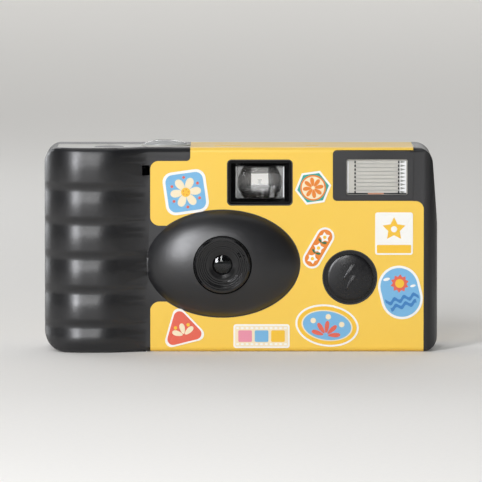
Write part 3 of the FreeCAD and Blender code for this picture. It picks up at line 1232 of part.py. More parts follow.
def make_ready_light_guide():
    """Clear rod that brings the lamp's glow to the back of the camera."""
    y0 = board_back_y() + LAMP_LENGTH + 0.4
    guide = rod_y(LIGHT_X, FINDER_Z, LIGHT_R, y0, BACK_Y - 0.2)
    collar = rod_y(LIGHT_X, FINDER_Z, LIGHT_R + 0.7, INNER_BACK_Y - 1.1, INNER_BACK_Y - 0.1)
    return keep_solid(guide.fuse(collar))


def make_sprocket():
    """Film sprocket on its upright shaft, with the metering cam and the tooth for the counter."""
    low = sprocket_low_z()
    wheel = rod_z(0, 0, SPROCKET_ROOT_R, low, low + SPROCKET_THICKNESS)
    tip = SPROCKET_ROOT_R + SPROCKET_TOOTH
    for tooth in range(SPROCKET_TEETH):
        peg = slab(SPROCKET_ROOT_R - 0.5, tip, -0.8, 0.8, low + 0.2, low + SPROCKET_THICKNESS - 0.2)
        peg.rotate(Vec(0, 0, 0), Vec(0, 0, 1), 360.0 * (tooth + 0.5) / SPROCKET_TEETH)
        wheel = wheel.fuse(peg)
    cam = rod_z(0, 0, CAM_R, WHEEL_Z - RATCHET_HEIGHT, WHEEL_Z - 0.2)
    notch = slab(CAM_R - 0.8, CAM_R + 1, -0.9, 0.9, WHEEL_Z - 2, WHEEL_Z)
    notch.rotate(Vec(0, 0, 0), Vec(0, 0, 1), nose_angle())
    finger = slab(0.5, SHAFT_R + 0.2, -0.3, 0.3, DIAL_Z, DIAL_Z + DIAL_THICKNESS)
    shaft = rod_z(0, 0, SHAFT_R, low, DIAL_Z + DIAL_THICKNESS)
    pin = rod_z(0, 0, SHAFT_R - 0.4, low - 1.8, low + 0.1)
    sprocket = shaft.fuse([wheel, cam.cut(notch), finger, pin])
    sprocket.translate(Vec(SPROCKET_X, SPROCKET_Y, 0))
    return keep_solid(sprocket)


def touch_point(x, y, radius, side):
    """Point on a circle where a line from the lever's pivot just touches it."""
    dx = LEVER_X - x
    dy = LEVER_Y - y
    angle = math.atan2(dy, dx) + side * math.acos(radius / math.hypot(dx, dy))
    return x + radius * math.cos(angle), y + radius * math.sin(angle)


def nose_point():
    """Middle of the metering lever's round nose beside the cam."""
    return touch_point(SPROCKET_X, SPROCKET_Y, CAM_R + LEVER_GAP + LEVER_WIDTH / 2.0, -1)


def nose_angle():
    """Direction in degrees from the cam's axis to the lever's nose."""
    x, y = nose_point()
    return math.degrees(math.atan2(y - SPROCKET_Y, x - SPROCKET_X))


def make_metering_lever():
    """Lever with one nose at the metering cam and one pawl at the ratchet of the wheel."""
    z0 = WHEEL_Z - RATCHET_HEIGHT
    z1 = WHEEL_Z - 0.2
    pawl = touch_point(SPOOL_X, SPOOL_Y, RATCHET_R + LEVER_GAP + LEVER_WIDTH / 2.0, -1)
    lever = rod_z(LEVER_X, LEVER_Y, 1.7, z0, z1)
    for x, y in (nose_point(), pawl):
        lever = lever.fuse(link_z(LEVER_X, LEVER_Y, x, y, LEVER_WIDTH, z0, z1))
    return keep_solid(lever.cut(rod_z(LEVER_X, LEVER_Y, PIN_R + RUN_FIT, z0 - 1, z1 + 1)))


def make_counter_dial():
    """Toothed dial under the counter window."""
    face = toothed_face(DIAL_X, DIAL_Y, DIAL_R - 0.5, DIAL_R, DIAL_TEETH, 0.3)
    dial = along_z(face, DIAL_Z, DIAL_Z + DIAL_THICKNESS)
    recess = rod_z(DIAL_X, DIAL_Y, DIAL_R - 3.6, DIAL_Z + DIAL_THICKNESS - 0.3, DIAL_Z + 2)
    bore = rod_z(DIAL_X, DIAL_Y, SHAFT_R + RUN_FIT, DIAL_Z - 1, DIAL_Z + 2)
    return keep_solid(dial.cut(recess).cut(bore))


def ratchet_face(x, y, root_r, tip_r, teeth):
    """XY face of a ratchet: each tooth climbs slowly and drops straight back."""
    points = []
    for tooth in range(teeth):
        for radius, part in ((root_r, 0.0), (tip_r, 0.92)):
            angle = 2.0 * math.pi * (tooth + part) / teeth
            points.append(Vec(x + radius * math.cos(angle), y + radius * math.sin(angle), 0))
    return Part.Face(Part.makePolygon(points + [points[0]]))


def make_advance_wheel():
    """Winding wheel: gripped rim, ratchet below it and a hub whose fork turns the spool."""
    top = WHEEL_Z + WHEEL_THICKNESS
    rim = along_z(toothed_face(SPOOL_X, SPOOL_Y, WHEEL_R - 0.7, WHEEL_R, WHEEL_GRIPS, 0.45), WHEEL_Z, top)
    hollow = rod_z(SPOOL_X, SPOOL_Y, WHEEL_R - 2.4, WHEEL_Z + 1.2, top + 1)
    boss = rod_z(SPOOL_X, SPOOL_Y, HUB_R + 1.5, WHEEL_Z, top - 0.6)
    ratchet = along_z(ratchet_face(SPOOL_X, SPOOL_Y, RATCHET_R - 0.8, RATCHET_R, RATCHET_TEETH),
                      WHEEL_Z - RATCHET_HEIGHT, WHEEL_Z + 0.1)
    ratchet = ratchet.cut(rod_z(SPOOL_X, SPOOL_Y, RATCHET_R - 2.0, WHEEL_Z - 2, WHEEL_Z))
    hub = rod_z(SPOOL_X, SPOOL_Y, HUB_R, CASSETTE_TOP_Z + 0.1, WHEEL_Z + 0.1)
    fork = rod_z(SPOOL_X, SPOOL_Y, FORK_R, FORK_LOW_Z, CASSETTE_TOP_Z + 0.2)
    wheel = rim.cut(hollow).fuse([boss, ratchet, hub, fork])
    slot = slab(SPOOL_X - 5, SPOOL_X + 5, SPOOL_Y - 0.55, SPOOL_Y + 0.55, FORK_LOW_Z - 1, FORK_LOW_Z + 1.5)
    return keep_solid(wheel.cut(slot))


def make_cassette_spool():
    """Spool of the film cassette: hollow core with a cross bar for the fork."""
    low = CASSETTE_LOW_Z + 0.6
    high = CASSETTE_TOP_Z - 0.6
    neck = CORE_R - 1.7
    outline = [(0, low - 3.0), (neck, low - 3.0), (neck, low), (CORE_R, low + 0.2), (CORE_R, high - 0.2),
               (neck, high), (neck, CASSETTE_TOP_Z - 0.1), (0, CASSETTE_TOP_Z - 0.1)]
    spool = turned_z(outline, SPOOL_X, SPOOL_Y)
    spool = spool.cut(rod_z(SPOOL_X, SPOOL_Y, FORK_R + 0.3, FORK_LOW_Z - 1.4, CASSETTE_TOP_Z + 1))
    spool = spool.cut(rod_z(SPOOL_X, SPOOL_Y, FORK_R + 0.3, low - 4.0, low + 3.0))
    bar = slab(SPOOL_X - FORK_R - 0.5, SPOOL_X + FORK_R + 0.5, SPOOL_Y - 0.4, SPOOL_Y + 0.4,
               FORK_LOW_Z - 1.5, FORK_LOW_Z + 1.2)
    return keep_solid(spool.fuse(bar))


def make_film_cassette():
    """Film cassette: thin shell between two crimped caps, with a lip for the film."""
    low = CASSETTE_LOW_Z
    high = CASSETTE_TOP_Z
    body_r = CASSETTE_R - CASSETTE_WALL
    hole_r = CORE_R - 1.4
    outline = [(hole_r, low), (CASSETTE_R, low), (CASSETTE_R, low + 1.6), (body_r, low + 1.6),
               (body_r, high - 1.6), (CASSETTE_R, high - 1.6), (CASSETTE_R, high), (hole_r, high)]
    shell = turned_z(outline, SPOOL_X, SPOOL_Y)
    lip_right = SPOOL_X + CHAMBER_R - 0.2
    lip = slab(SPOOL_X + 3.0, lip_right, FILM_Y - 1.5, FILM_Y + 1.5, low + 1.8, high - 1.8)
    hollow = rod_z(SPOOL_X, SPOOL_Y, body_r - CASSETTE_WALL, low + CASSETTE_WALL, high - CASSETTE_WALL)
    slit = slab(SPOOL_X, lip_right + 1, FILM_Y - 0.2, FILM_Y + FILM_THICKNESS + 0.2,
                FILM_LOW_Z - 0.2, FILM_TOP_Z + 0.2)
    return keep_solid(shell.fuse(lip).cut(hollow).cut(slit))


def film_outline():
    """XY face of the film from the cassette's lip over the gate and onto the roll."""
    start_x = SPOOL_X + CHAMBER_R - 2.0
    bend_x = ROLL_X - ROLL_R - CHAMBER_GAP - 1.8
    inner_r = ROLL_R + 0.08
    outer_r = inner_r + FILM_THICKNESS
    dx = ROLL_X - bend_x
    dy = ROLL_Y - FILM_Y
    slope = math.atan2(dy, dx) + math.asin(inner_r / math.hypot(dx, dy))
    first = slope + math.pi / 2.0
    last = math.radians(62.0)

    def on_roll(radius, angle):
        return Vec(ROLL_X + radius * math.cos(angle), ROLL_Y + radius * math.sin(angle), 0)

    middle = (first + last) / 2.0
    inner_arc = Part.Arc(on_roll(inner_r, first), on_roll(inner_r, middle), on_roll(inner_r, last))
    outer_arc = Part.Arc(on_roll(outer_r, last), on_roll(outer_r, middle), on_roll(outer_r, first))
    back_y = FILM_Y + FILM_THICKNESS
    edges = [Part.makeLine(Vec(start_x, FILM_Y, 0), Vec(bend_x, FILM_Y, 0)),
             Part.makeLine(Vec(bend_x, FILM_Y, 0), on_roll(inner_r, first)), inner_arc.toShape(),
             Part.makeLine(on_roll(inner_r, last), on_roll(outer_r, last)), outer_arc.toShape(),
             Part.makeLine(on_roll(outer_r, first), Vec(bend_x, back_y, 0)),
             Part.makeLine(Vec(bend_x, back_y, 0), Vec(start_x, back_y, 0)),
             Part.makeLine(Vec(start_x, back_y, 0), Vec(start_x, FILM_Y, 0))]
    return Part.Face(Part.Wire(edges))


def make_film_strip():
    """Film across the gate, with its two rows of perforations."""
    strip = along_z(film_outline(), FILM_LOW_Z, FILM_TOP_Z)
    for count in range(PERFORATIONS):
        x = LENS_X + (count - (PERFORATIONS - 1) / 2.0) * PERFORATION_PITCH
        for z in (FILM_LOW_Z + PERFORATION_FROM_EDGE, FILM_TOP_Z - PERFORATION_FROM_EDGE):
            strip = strip.cut(slab(x - 1.0, x + 1.0, FILM_Y - 1, FILM_Y + 1, z - 1.4, z + 1.4))
    return keep_solid(strip)


def make_film_roll():
    """Unexposed film, wound on its spool."""
    roll = rod_z(ROLL_X, ROLL_Y, ROLL_R, FILM_LOW_Z, FILM_TOP_Z)
    return keep_solid(roll.cut(rod_z(ROLL_X, ROLL_Y, ROLL_CORE_R, FILM_LOW_Z - 1, FILM_TOP_Z + 1)))


def make_roll_spool():
    """Core of the film roll with a pin at each end."""
    low = WALL + 0.25 + 4.8
    core = rod_z(ROLL_X, ROLL_Y, ROLL_CORE_R, low + 0.15, ROLL_DECK_Z - 0.15)
    shaft = rod_z(ROLL_X, ROLL_Y, SHAFT_R, low - 0.7, ROLL_DECK_Z + ROLL_DECK_THICKNESS - 0.1)
    return keep_solid(core.fuse(shaft))


def make_shutter_button():
    """Round release button with a flange below the dish and a guide stem."""
    top = CASE_HEIGHT - 0.1
    flange_top = CASE_HEIGHT - TOP_THICKNESS - DISH_DEPTH - 0.2
    flange_low = flange_top - BUTTON_FLANGE
    outline = [(0, bracket_low_z()), (STEM_R, bracket_low_z()), (STEM_R, flange_low),
               (BUTTON_R + 0.9, flange_low), (BUTTON_R + 0.9, flange_top), (BUTTON_R, flange_top),
               (BUTTON_R, top - 0.5), (BUTTON_R - 0.15, top - 0.2), (BUTTON_R - 0.5, top - 0.05), (0, top)]
    return keep_solid(turned_z(outline, BUTTON_X, BUTTON_Y))


def make_release_spring():
    """Cone-shaped return spring between the guide bar and the button's flange."""
    low = bracket_low_z() + BRACKET_THICKNESS + 0.02
    high = CASE_HEIGHT - TOP_THICKNESS - DISH_DEPTH - 0.2 - BUTTON_FLANGE - 0.02
    start_r = STEM_R + SPRING_WIRE_R + 0.4
    end_r = BUTTON_R - 0.9
    rise = high - low - 2.0 * SPRING_WIRE_R
    coil = wound_coil(start_r, end_r, rise, SPRING_WIRE_R, SPRING_TURNS)
    coil.translate(Vec(BUTTON_X, BUTTON_Y, low + SPRING_WIRE_R))
    return keep_solid(coil)


def make_charge_button():
    """Domed charge button held by a flange behind the front wall."""
    crown_y = FRONT_Y - 0.4
    edge_rise = 0.6
    ball_r = (CHARGE_CAP_R ** 2 + edge_rise ** 2) / (2.0 * edge_rise)
    cap = rod_y(CHARGE_X, CHARGE_Z, CHARGE_CAP_R, crown_y, INNER_FRONT_Y + 0.5)
    cap = cap.common(Part.makeSphere(ball_r, Vec(CHARGE_X, crown_y + ball_r, CHARGE_Z)))
    flange = rod_y(CHARGE_X, CHARGE_Z, CHARGE_HOLE_R + 0.5, INNER_FRONT_Y + 0.1, INNER_FRONT_Y + 0.7)
    return keep_solid(cap.fuse(flange))


def make_charge_contact():
    """Bridge-shaped contact leaf on the board behind the charge button."""
    base = BOARD_FRONT_Y
    crest = INNER_FRONT_Y + 0.7 + CHARGE_TRAVEL + 0.05
    foot = CONTACT_HALF - 2.4
    side = [(CONTACT_HALF, base), (CONTACT_HALF, base - 0.2), (foot, base - 0.2), (CONTACT_CREST, crest)]
    under = [(CONTACT_CREST - 0.1, crest + 0.2), (foot - 0.1, base)]
    points = [(-u, v) for u, v in side] + [(u, v) for u, v in reversed(side)]
    points += [(u, v) for u, v in reversed(under)] + [(-u, v) for u, v in under]
    outline = [Vec(CHARGE_X + u, v, 0) for u, v in points]
    leaf = Part.Face(Part.makePolygon(outline + [outline[0]]))
    return keep_solid(along_z(leaf, CHARGE_Z - CONTACT_WIDTH / 2.0, CHARGE_Z + CONTACT_WIDTH / 2.0))


def make_battery():
    """Small round cell with its plus nub at the left end."""
    right = BATTERY_LEFT + BATTERY_LENGTH
    cell = rod_x(BATTERY_Y, BATTERY_Z, BATTERY_R, BATTERY_LEFT + 1.0, right - 0.3)
    nub = rod_x(BATTERY_Y, BATTERY_Z, 1.9, BATTERY_LEFT, BATTERY_LEFT + 1.1)
    foot = rod_x(BATTERY_Y, BATTERY_Z, 4.0, right - 0.4, right)
    return keep_solid(cell.fuse([nub, foot]))


def make_battery_contact_plus():
    """Plus contact: a leaf between the cell's nub and the cassette chamber."""
    x1 = BATTERY_LEFT
    leaf = slab(x1 - 0.3, x1, BATTERY_Y - 3.0, BATTERY_Y + 3.0, WALL + 0.3, BATTERY_Z + 3.0)
    foot = slab(x1 - 0.3, x1 + 1.6, BATTERY_Y - 3.0, BATTERY_Y + 3.0, WALL + 0.1, WALL + 0.4)
    return keep_solid(leaf.fuse(foot))


def make_battery_contact_minus():
    """Minus contact: a leaf at the cell's foot that turns onto the flash board."""
    x0 = BATTERY_LEFT + BATTERY_LENGTH
    leaf = slab(x0, x0 + 0.3, BOARD_FRONT_Y - 0.2, BATTERY_Y + 3.0, BATTERY_Z - 2.5, BATTERY_Z + 2.5)
    tab = slab(x0, BOARD_LEFT + 2.5, BOARD_FRONT_Y - 0.2, BOARD_FRONT_Y, BATTERY_Z - 2.5, BATTERY_Z + 2.5)
    return keep_solid(leaf.fuse(tab))


NODES = {
    "front_cover": make_front_cover,
    "rear_cover": make_rear_cover,
    "top_plate": make_top_plate,
    "counter_window": make_counter_window,
    "wrap_label": make_wrap_label,
    "cassette_hatch": make_cassette_hatch,
    "lens_retainer": make_lens_retainer,
    "taking_lens": make_taking_lens,
    "lens_holder": make_lens_holder,
    "viewfinder_housing": make_viewfinder_housing,
    "viewfinder_front_lens": make_viewfinder_front_lens,
    "viewfinder_eyepiece": make_viewfinder_eyepiece,
    "main_frame": make_main_frame,
    "shutter_plate": make_shutter_plate,
    "shutter_blade": make_shutter_blade,
    "blade_spring": make_blade_spring,
    "striker_lever": make_striker_lever,
    "striker_spring": make_striker_spring,
    "sync_contact": make_sync_contact,
    "sprocket": make_sprocket,
    "metering_lever": make_metering_lever,
    "counter_dial": make_counter_dial,
    "advance_wheel": make_advance_wheel,
    "shutter_button": make_shutter_button,
    "release_spring": make_release_spring,
    "film_cassette": make_film_cassette,
    "cassette_spool": make_cassette_spool,
    "film_strip": make_film_strip,
    "film_roll": make_film_roll,
    "roll_spool": make_roll_spool,
    "flash_window": make_flash_window,
    "flash_reflector": make_flash_reflector,
    "flash_tube": make_flash_tube,
    "flash_board": make_flash_board,
    "capacitor": make_capacitor,
    "transformer": make_transformer,
    "trigger_coil": make_trigger_coil,
    "ready_lamp": make_ready_lamp,
    "ready_light_guide": make_ready_light_guide,
    "battery": make_battery,
    "battery_contact_plus": make_battery_contact_plus,
    "battery_contact_minus": make_battery_contact_minus,
    "charge_button": make_charge_button,
    "charge_contact": make_charge_contact,
}

os.makedirs("parts", exist_ok=True)
for node, make in NODES.items():
    make().exportStep("parts/" + node + ".step")
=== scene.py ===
"""Looks of a single-use 35 mm film camera: black moulded covers, gold wrap label and clear windows.

Places are in the row frame: X to the right as the lens is faced, Y back, Z up. Blender works in
metres. Names that end in _mm, and all outlines, hold millimetres.
"""
import json
import logging
import math
from dataclasses import dataclass, field
from enum import Enum

import bmesh
import bpy
from mathutils import Matrix, Vector
from mathutils.bvhtree import BVHTree

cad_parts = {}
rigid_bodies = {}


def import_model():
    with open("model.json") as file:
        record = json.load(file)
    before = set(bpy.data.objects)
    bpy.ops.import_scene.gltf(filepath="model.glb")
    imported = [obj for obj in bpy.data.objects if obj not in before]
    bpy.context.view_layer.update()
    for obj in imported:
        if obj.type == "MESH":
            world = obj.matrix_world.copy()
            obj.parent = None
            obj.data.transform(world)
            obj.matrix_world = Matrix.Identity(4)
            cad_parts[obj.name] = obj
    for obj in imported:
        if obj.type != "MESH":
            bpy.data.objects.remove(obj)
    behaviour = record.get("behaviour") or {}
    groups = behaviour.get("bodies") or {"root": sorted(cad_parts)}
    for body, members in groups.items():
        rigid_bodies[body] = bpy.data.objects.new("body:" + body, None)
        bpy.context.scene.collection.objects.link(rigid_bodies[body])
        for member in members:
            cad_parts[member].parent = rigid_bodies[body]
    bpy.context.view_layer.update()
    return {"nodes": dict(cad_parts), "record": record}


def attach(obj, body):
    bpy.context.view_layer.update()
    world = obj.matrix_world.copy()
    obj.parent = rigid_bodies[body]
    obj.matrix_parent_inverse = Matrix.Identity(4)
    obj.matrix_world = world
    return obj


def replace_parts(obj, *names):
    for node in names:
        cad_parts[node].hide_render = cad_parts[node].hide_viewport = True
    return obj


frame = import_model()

LOG = logging.getLogger("film_camera")
MM = 0.001
FULL_TURN = 2.0 * math.pi
# Turns an outline drawn flat so that it stands upright and faces the front.
UPRIGHT = Matrix.Rotation(math.pi / 2.0, 4, "X")
# New corners closer than WELD_MM are one corner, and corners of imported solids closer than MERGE_MM.
WELD_MM = 0.001
MERGE_MM = 0.004
# Packed faces that turn less than this are one face, and large ones count this much for shading.
FLAT_DEG = 0.05
FLAT_WEIGHT = 80
BODY = "camera"
BODIES: dict[str, list[str]] = frame["record"]["behaviour"]["bodies"]

Piece = bpy.types.Object
Form = bmesh.types.BMesh
Material = bpy.types.Material
Socket = bpy.types.NodeSocket
Point = tuple[float, float]
Outline = list[Point]
Spot = tuple[float, float, float]
Inputs = dict[str | int, object]


def linear(hex_colour: str) -> tuple[float, float, float, float]:
    """Turns an sRGB hex colour into Blender's linear colour.

    Args:
        hex_colour: six hex digits, such as "F8CE54".

    Returns:
        Red, green, blue and an alpha of 1.
    """
    levels = [int(hex_colour[i:i + 2], 16) / 255.0 for i in (0, 2, 4)]
    red, green, blue = (c / 12.92 if c <= 0.04045 else ((c + 0.055) / 1.055) ** 2.4 for c in levels)
    return red, green, blue, 1.0


def deeper(colour: str, share: float = 0.93) -> str:
    """Slightly darker tone of an sRGB hex colour."""
    return "".join("%02X" % round(int(colour[at:at + 2], 16) * share) for at in (0, 2, 4))


def metres(x_mm: float, y_mm: float, z_mm: float) -> Vector:
    """Place or step in metres."""
    return Vector((x_mm, y_mm, z_mm)) * MM


def per_mm(size_mm: float) -> float:
    """Texture scale at which one feature is size_mm wide on Object coordinates in metres."""
    return 1.0 / (size_mm * MM)


class Nodes:
    """Node tree that is built node by node."""

    def __init__(self, tree: bpy.types.NodeTree) -> None:
        """Takes an empty tree."""
        self.tree = tree

    def add(self, kind: str, inputs: Inputs | None = None, **settings: object) -> bpy.types.NodeOutputs:
        """Adds a node with its settings and links.

        Args:
            kind: Blender's name of the node type.
            inputs: values or sockets for its inputs, by name or number.
            settings: attributes to set on the node.

        Returns:
            The new node's outputs.
        """
        made = self.tree.nodes.new(kind)
        for key, value in settings.items():
            setattr(made, key, value)
        for key, value in (inputs or {}).items():
            if isinstance(value, Socket):
                self.tree.links.new(value, made.inputs[key])
            else:
                made.inputs[key].default_value = value
        return made.outputs


@dataclass(frozen=True)
class Finish:
    """Procedural finish that goes between two close tones."""

    name: str
    colour: str
    shade: str

    def surface(self, tree: Nodes, place: Socket) -> Inputs:
        """Inputs of the surface shader, from the place on the piece."""
        raise NotImplementedError

    def make(self) -> Material:
        """Builds the material.

        Returns:
            The material, with its surface shader and output.
        """
        material = bpy.data.materials.new(self.name)
        material.use_nodes = True
        material.node_tree.nodes.clear()
        tree = Nodes(material.node_tree)
        place = tree.add("ShaderNodeTexCoord")["Object"]
        shader = tree.add("ShaderNodeBsdfPrincipled", self.surface(tree, place))
        tree.add("ShaderNodeOutputMaterial", {"Surface": shader["BSDF"]})
        return material


@dataclass(frozen=True)
class MouldedPlastic(Finish):
    """Injection-moulded ABS or polystyrene: fine eroded grain from the mould under a soft sheen."""

    roughness: float = 0.42
    spread: float = 0.07
    grain_mm: float = 0.35
    grain_depth_mm: float = 0.012
    flow_mm: float = 14.0
    specular: float = 0.5
    ior: float = 1.53

    def surface(self, tree: Nodes, place: Socket) -> Inputs:
        """Adds the patterns of this finish.

        Args:
            tree: the material's nodes.
            place: the place on the piece.

        Returns:
            Inputs of the surface shader.
        """
        # Melt flow leaves broad, faint clouds in colour and gloss.
        flow = tree.add("ShaderNodeTexNoise", {
            "Vector": place, "Scale": per_mm(self.flow_mm), "Detail": 3.0, "Roughness": 0.55})["Fac"]
        # Spark erosion of the mould leaves a fine pebbled grain, drawn coarser than real so that it shows.
        grain = tree.add("ShaderNodeTexNoise", {
            "Vector": place, "Scale": per_mm(self.grain_mm), "Detail": 2.0, "Roughness": 0.6})["Fac"]
        tint = tree.add("ShaderNodeMix", {0: flow, 6: linear(self.colour), 7: linear(self.shade)},
                        data_type="RGBA")[2]
        both = tree.add("ShaderNodeMath", {0: grain, 1: 0.5, 2: flow}, operation="MULTIPLY_ADD")[0]
        gloss = tree.add("ShaderNodeMapRange", {
            "Value": both, "From Min": 0.45, "From Max": 1.05, "To Min": self.roughness - self.spread,
            "To Max": self.roughness + self.spread})["Result"]
        relief = tree.add("ShaderNodeBump", {
            "Height": grain, "Distance": self.grain_depth_mm * MM, "Strength": 0.8})["Normal"]
        return {"Base Color": tint, "Roughness": gloss, "Normal": relief, "IOR": self.ior,
                "Specular IOR Level": self.specular}


@dataclass(frozen=True)
class ClearPlastic(Finish):
    """Polished clear acrylic or styrene: nearly colourless, with faint waves of the moulding."""

    colour: str = "F4F8F6"
    shade: str = "FFFFFF"
    roughness: float = 0.03
    ior: float = 1.49
    wave_mm: float = 5.0
    wave_depth_mm: float = 0.01
    haze: float = 0.0
    glint: str = "FFFFFF"

    def surface(self, tree: Nodes, place: Socket) -> Inputs:
        """Adds the patterns of this finish.

        Args:
            tree: the material's nodes.
            place: the place on the piece.

        Returns:
            Inputs of the surface shader.
        """
        # Slow waves in the polished faces bend reflections a little.
        wave = tree.add("ShaderNodeTexNoise", {
            "Vector": place, "Scale": per_mm(self.wave_mm), "Detail": 1.0})["Fac"]
        tint = tree.add("ShaderNodeMix", {0: wave, 6: linear(self.colour), 7: linear(self.shade)},
                        data_type="RGBA")[2]
        relief = tree.add("ShaderNodeBump", {
            "Height": wave, "Distance": self.wave_depth_mm * MM, "Strength": 0.6})["Normal"]
        return {"Base Color": tint, "Roughness": self.roughness, "Normal": relief, "IOR": self.ior,
                "Transmission Weight": 1.0 - self.haze, "Specular Tint": linear(self.glint)}


@dataclass(frozen=True)
class PrintedFilm(Finish):
    """Printed and varnished label film: flat ink, a slight orange peel and a thin clear coat."""

    roughness: float = 0.34
    coat: float = 0.25
    coat_roughness: float = 0.12
    cloud_mm: float = 18.0
    screen_mm: float = 0.22
    peel_mm: float = 0.9
    peel_depth_mm: float = 0.008
    ior: float = 1.5

    def surface(self, tree: Nodes, place: Socket) -> Inputs:
        """Adds the patterns of this finish.

        Args:
            tree: the material's nodes.
            place: the place on the piece.

        Returns:
            Inputs of the surface shader.
        """
        # Ink lies in broad, barely visible clouds over a printing screen, drawn a little coarser than real.
        cloud = tree.add("ShaderNodeTexNoise", {
            "Vector": place, "Scale": per_mm(self.cloud_mm), "Detail": 2.0})["Fac"]
        screen = tree.add("ShaderNodeTexVoronoi", {"Vector": place, "Scale": per_mm(self.screen_mm)})
        dots = tree.add("ShaderNodeMapRange", {
            "Value": screen["Distance"], "From Min": 0.0, "From Max": 0.8, "To Min": 0.0,
            "To Max": 0.3})["Result"]
        share = tree.add("ShaderNodeMath", {0: cloud, 1: 0.6, 2: dots}, operation="MULTIPLY_ADD")[0]
        tint = tree.add("ShaderNodeMix", {0: share, 6: linear(self.colour), 7: linear(self.shade)},
                        data_type="RGBA")[2]
        # Varnish dries with a slight orange peel and a gloss that varies.
        peel = tree.add("ShaderNodeTexNoise", {
            "Vector": place, "Scale": per_mm(self.peel_mm), "Detail": 1.5})["Fac"]
        relief = tree.add("ShaderNodeBump", {
            "Height": peel, "Distance": self.peel_depth_mm * MM, "Strength": 0.7})["Normal"]
        gloss = tree.add("ShaderNodeMapRange", {
            "Value": cloud, "From Min": 0.3, "From Max": 0.7, "To Min": self.roughness - 0.04,
            "To Max": self.roughness + 0.05})["Result"]
        return {"Base Color": tint, "Roughness": gloss, "Normal": relief, "IOR": self.ior,
                "Coat Weight": self.coat, "Coat Roughness": self.coat_roughness}


@dataclass(frozen=True)
class RolledMetal(Finish):
    """Rolled or drawn sheet metal: streaks along the rolling direction and a soft mirror."""

    roughness: float = 0.22
    streak_mm: float = 0.12
    stretch: Spot = (0.04, 1.0, 1.0)

    def surface(self, tree: Nodes, place: Socket) -> Inputs:
        """Adds the patterns of this finish.

        Args:
            tree: the material's nodes.
            place: the place on the piece.

        Returns:
            Inputs of the surface shader.
        """
        # Rolling draws every scratch out along one direction.
        drawn = tree.add("ShaderNodeMapping", {"Vector": place, "Scale": self.stretch})["Vector"]
        streak = tree.add("ShaderNodeTexNoise", {
            "Vector": drawn, "Scale": per_mm(self.streak_mm), "Detail": 3.0})["Fac"]
        tint = tree.add("ShaderNodeMix", {0: streak, 6: linear(self.colour), 7: linear(self.shade)},
                        data_type="RGBA")[2]
        gloss = tree.add("ShaderNodeMapRange", {
            "Value": streak, "From Min": 0.3, "From Max": 0.7, "To Min": self.roughness * 0.75,
            "To Max": self.roughness * 1.3})["Result"]
        return {"Base Color": tint, "Roughness": gloss, "Metallic": 1.0}


@dataclass(frozen=True)
class Paper(Finish):
    """Matt studio paper of the floor, which stays pale where the eye sees it far behind the object."""

    roughness: float = 0.85
    specular: float = 0.15
    lift: float = 0.12
    lift_through_glass: float = 0.42
    fibre_mm: float = 1.5

    def surface(self, tree: Nodes, place: Socket) -> Inputs:
        """Adds the patterns of this finish.

        Args:
            tree: the material's nodes.
            place: the place on the piece.

        Returns:
            Inputs of the surface shader.
        """
        # Fibres give faint clouds and a soft tooth.
        fibre = tree.add("ShaderNodeTexNoise", {
            "Vector": place, "Scale": per_mm(self.fibre_mm), "Detail": 2.0})["Fac"]
        tint = tree.add("ShaderNodeMix", {0: fibre, 6: linear(self.colour), 7: linear(self.shade)},
                        data_type="RGBA")[2]
        # Only what the eye sees, straight or through clear pieces, is lifted.
        ray = tree.add("ShaderNodeLightPath")
        straight = tree.add("ShaderNodeMath", {0: ray["Is Camera Ray"], 1: self.lift},
                            operation="MULTIPLY")[0]
        glow = tree.add("ShaderNodeMath", {
            0: ray["Is Transmission Ray"], 1: self.lift_through_glass, 2: straight},
                        operation="MULTIPLY_ADD")[0]
        return {"Base Color": tint, "Roughness": self.roughness, "Specular IOR Level": self.specular,
                "Emission Color": tint, "Emission Strength": glow}


class Edge(Enum):
    """How an edge of a refined piece is finished."""

    CRISP = "crisp"
    EASED = "eased"


def shade_by_angle(mesh: bpy.types.Mesh, sharp_deg: float) -> None:
    """Shades a mesh smooth, except across edges that turn further than sharp_deg."""
    mesh.shade_smooth()
    mesh.set_sharp_from_angle(angle=math.radians(sharp_deg))


def bake_modifiers(piece: Piece) -> Piece:
    """Turns the result of a piece's modifiers into its plain mesh.

    Args:
        piece: an object whose modifiers are done with.

    Returns:
        The same object, without modifiers.
    """
    bpy.context.view_layer.update()
    graph = bpy.context.evaluated_depsgraph_get()
    result = bpy.data.meshes.new_from_object(piece.evaluated_get(graph))
    piece.modifiers.clear()
    piece.data = result
    return piece


def ease_edges(piece: Piece, over_deg: float, width_mm: float = 0.12) -> Piece:
    """Gives the sharp edges of a piece a small round.

    Args:
        piece: the object.
        over_deg: edges that turn further than this are eased.
        width_mm: width of the round.

    Returns:
        The same object.
    """
    bevel = piece.modifiers.new("eased", "BEVEL")
    bevel.width = width_mm * MM
    bevel.segments = 2
    bevel.limit_method = "ANGLE"
    bevel.angle_limit = math.radians(over_deg)
    return bake_modifiers(piece)


def body_of(node: str) -> str:
    """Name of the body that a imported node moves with."""
    return next(body for body, members in BODIES.items() if node in members)


def dress(material: Material, *nodes: str) -> list[Piece]:
    """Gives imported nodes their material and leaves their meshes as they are.

    Args:
        material: their finish.
        nodes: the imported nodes.

    Returns:
        The nodes' objects.
    """
    pieces = [frame["nodes"][node] for node in nodes]
    for piece in pieces:
        for slot in piece.material_slots:
            slot.material = material
        LOG.info("%s dressed in %s", piece.name, material.name)
    return pieces


def settle(piece: Piece, material: Material, body: str = BODY) -> Piece:
    """Finishes a new piece.

    Args:
        piece: the object, with its place in its mesh.
        material: its finish, unless its mesh already has materials.
        body: the body that it rides on.

    Returns:
        The same object.
    """
    if not piece.data.materials:
        piece.data.materials.append(material)
    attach(piece, body)
    LOG.info("%s rides on %s with %d faces", piece.name, body, len(piece.data.polygons))
    return piece


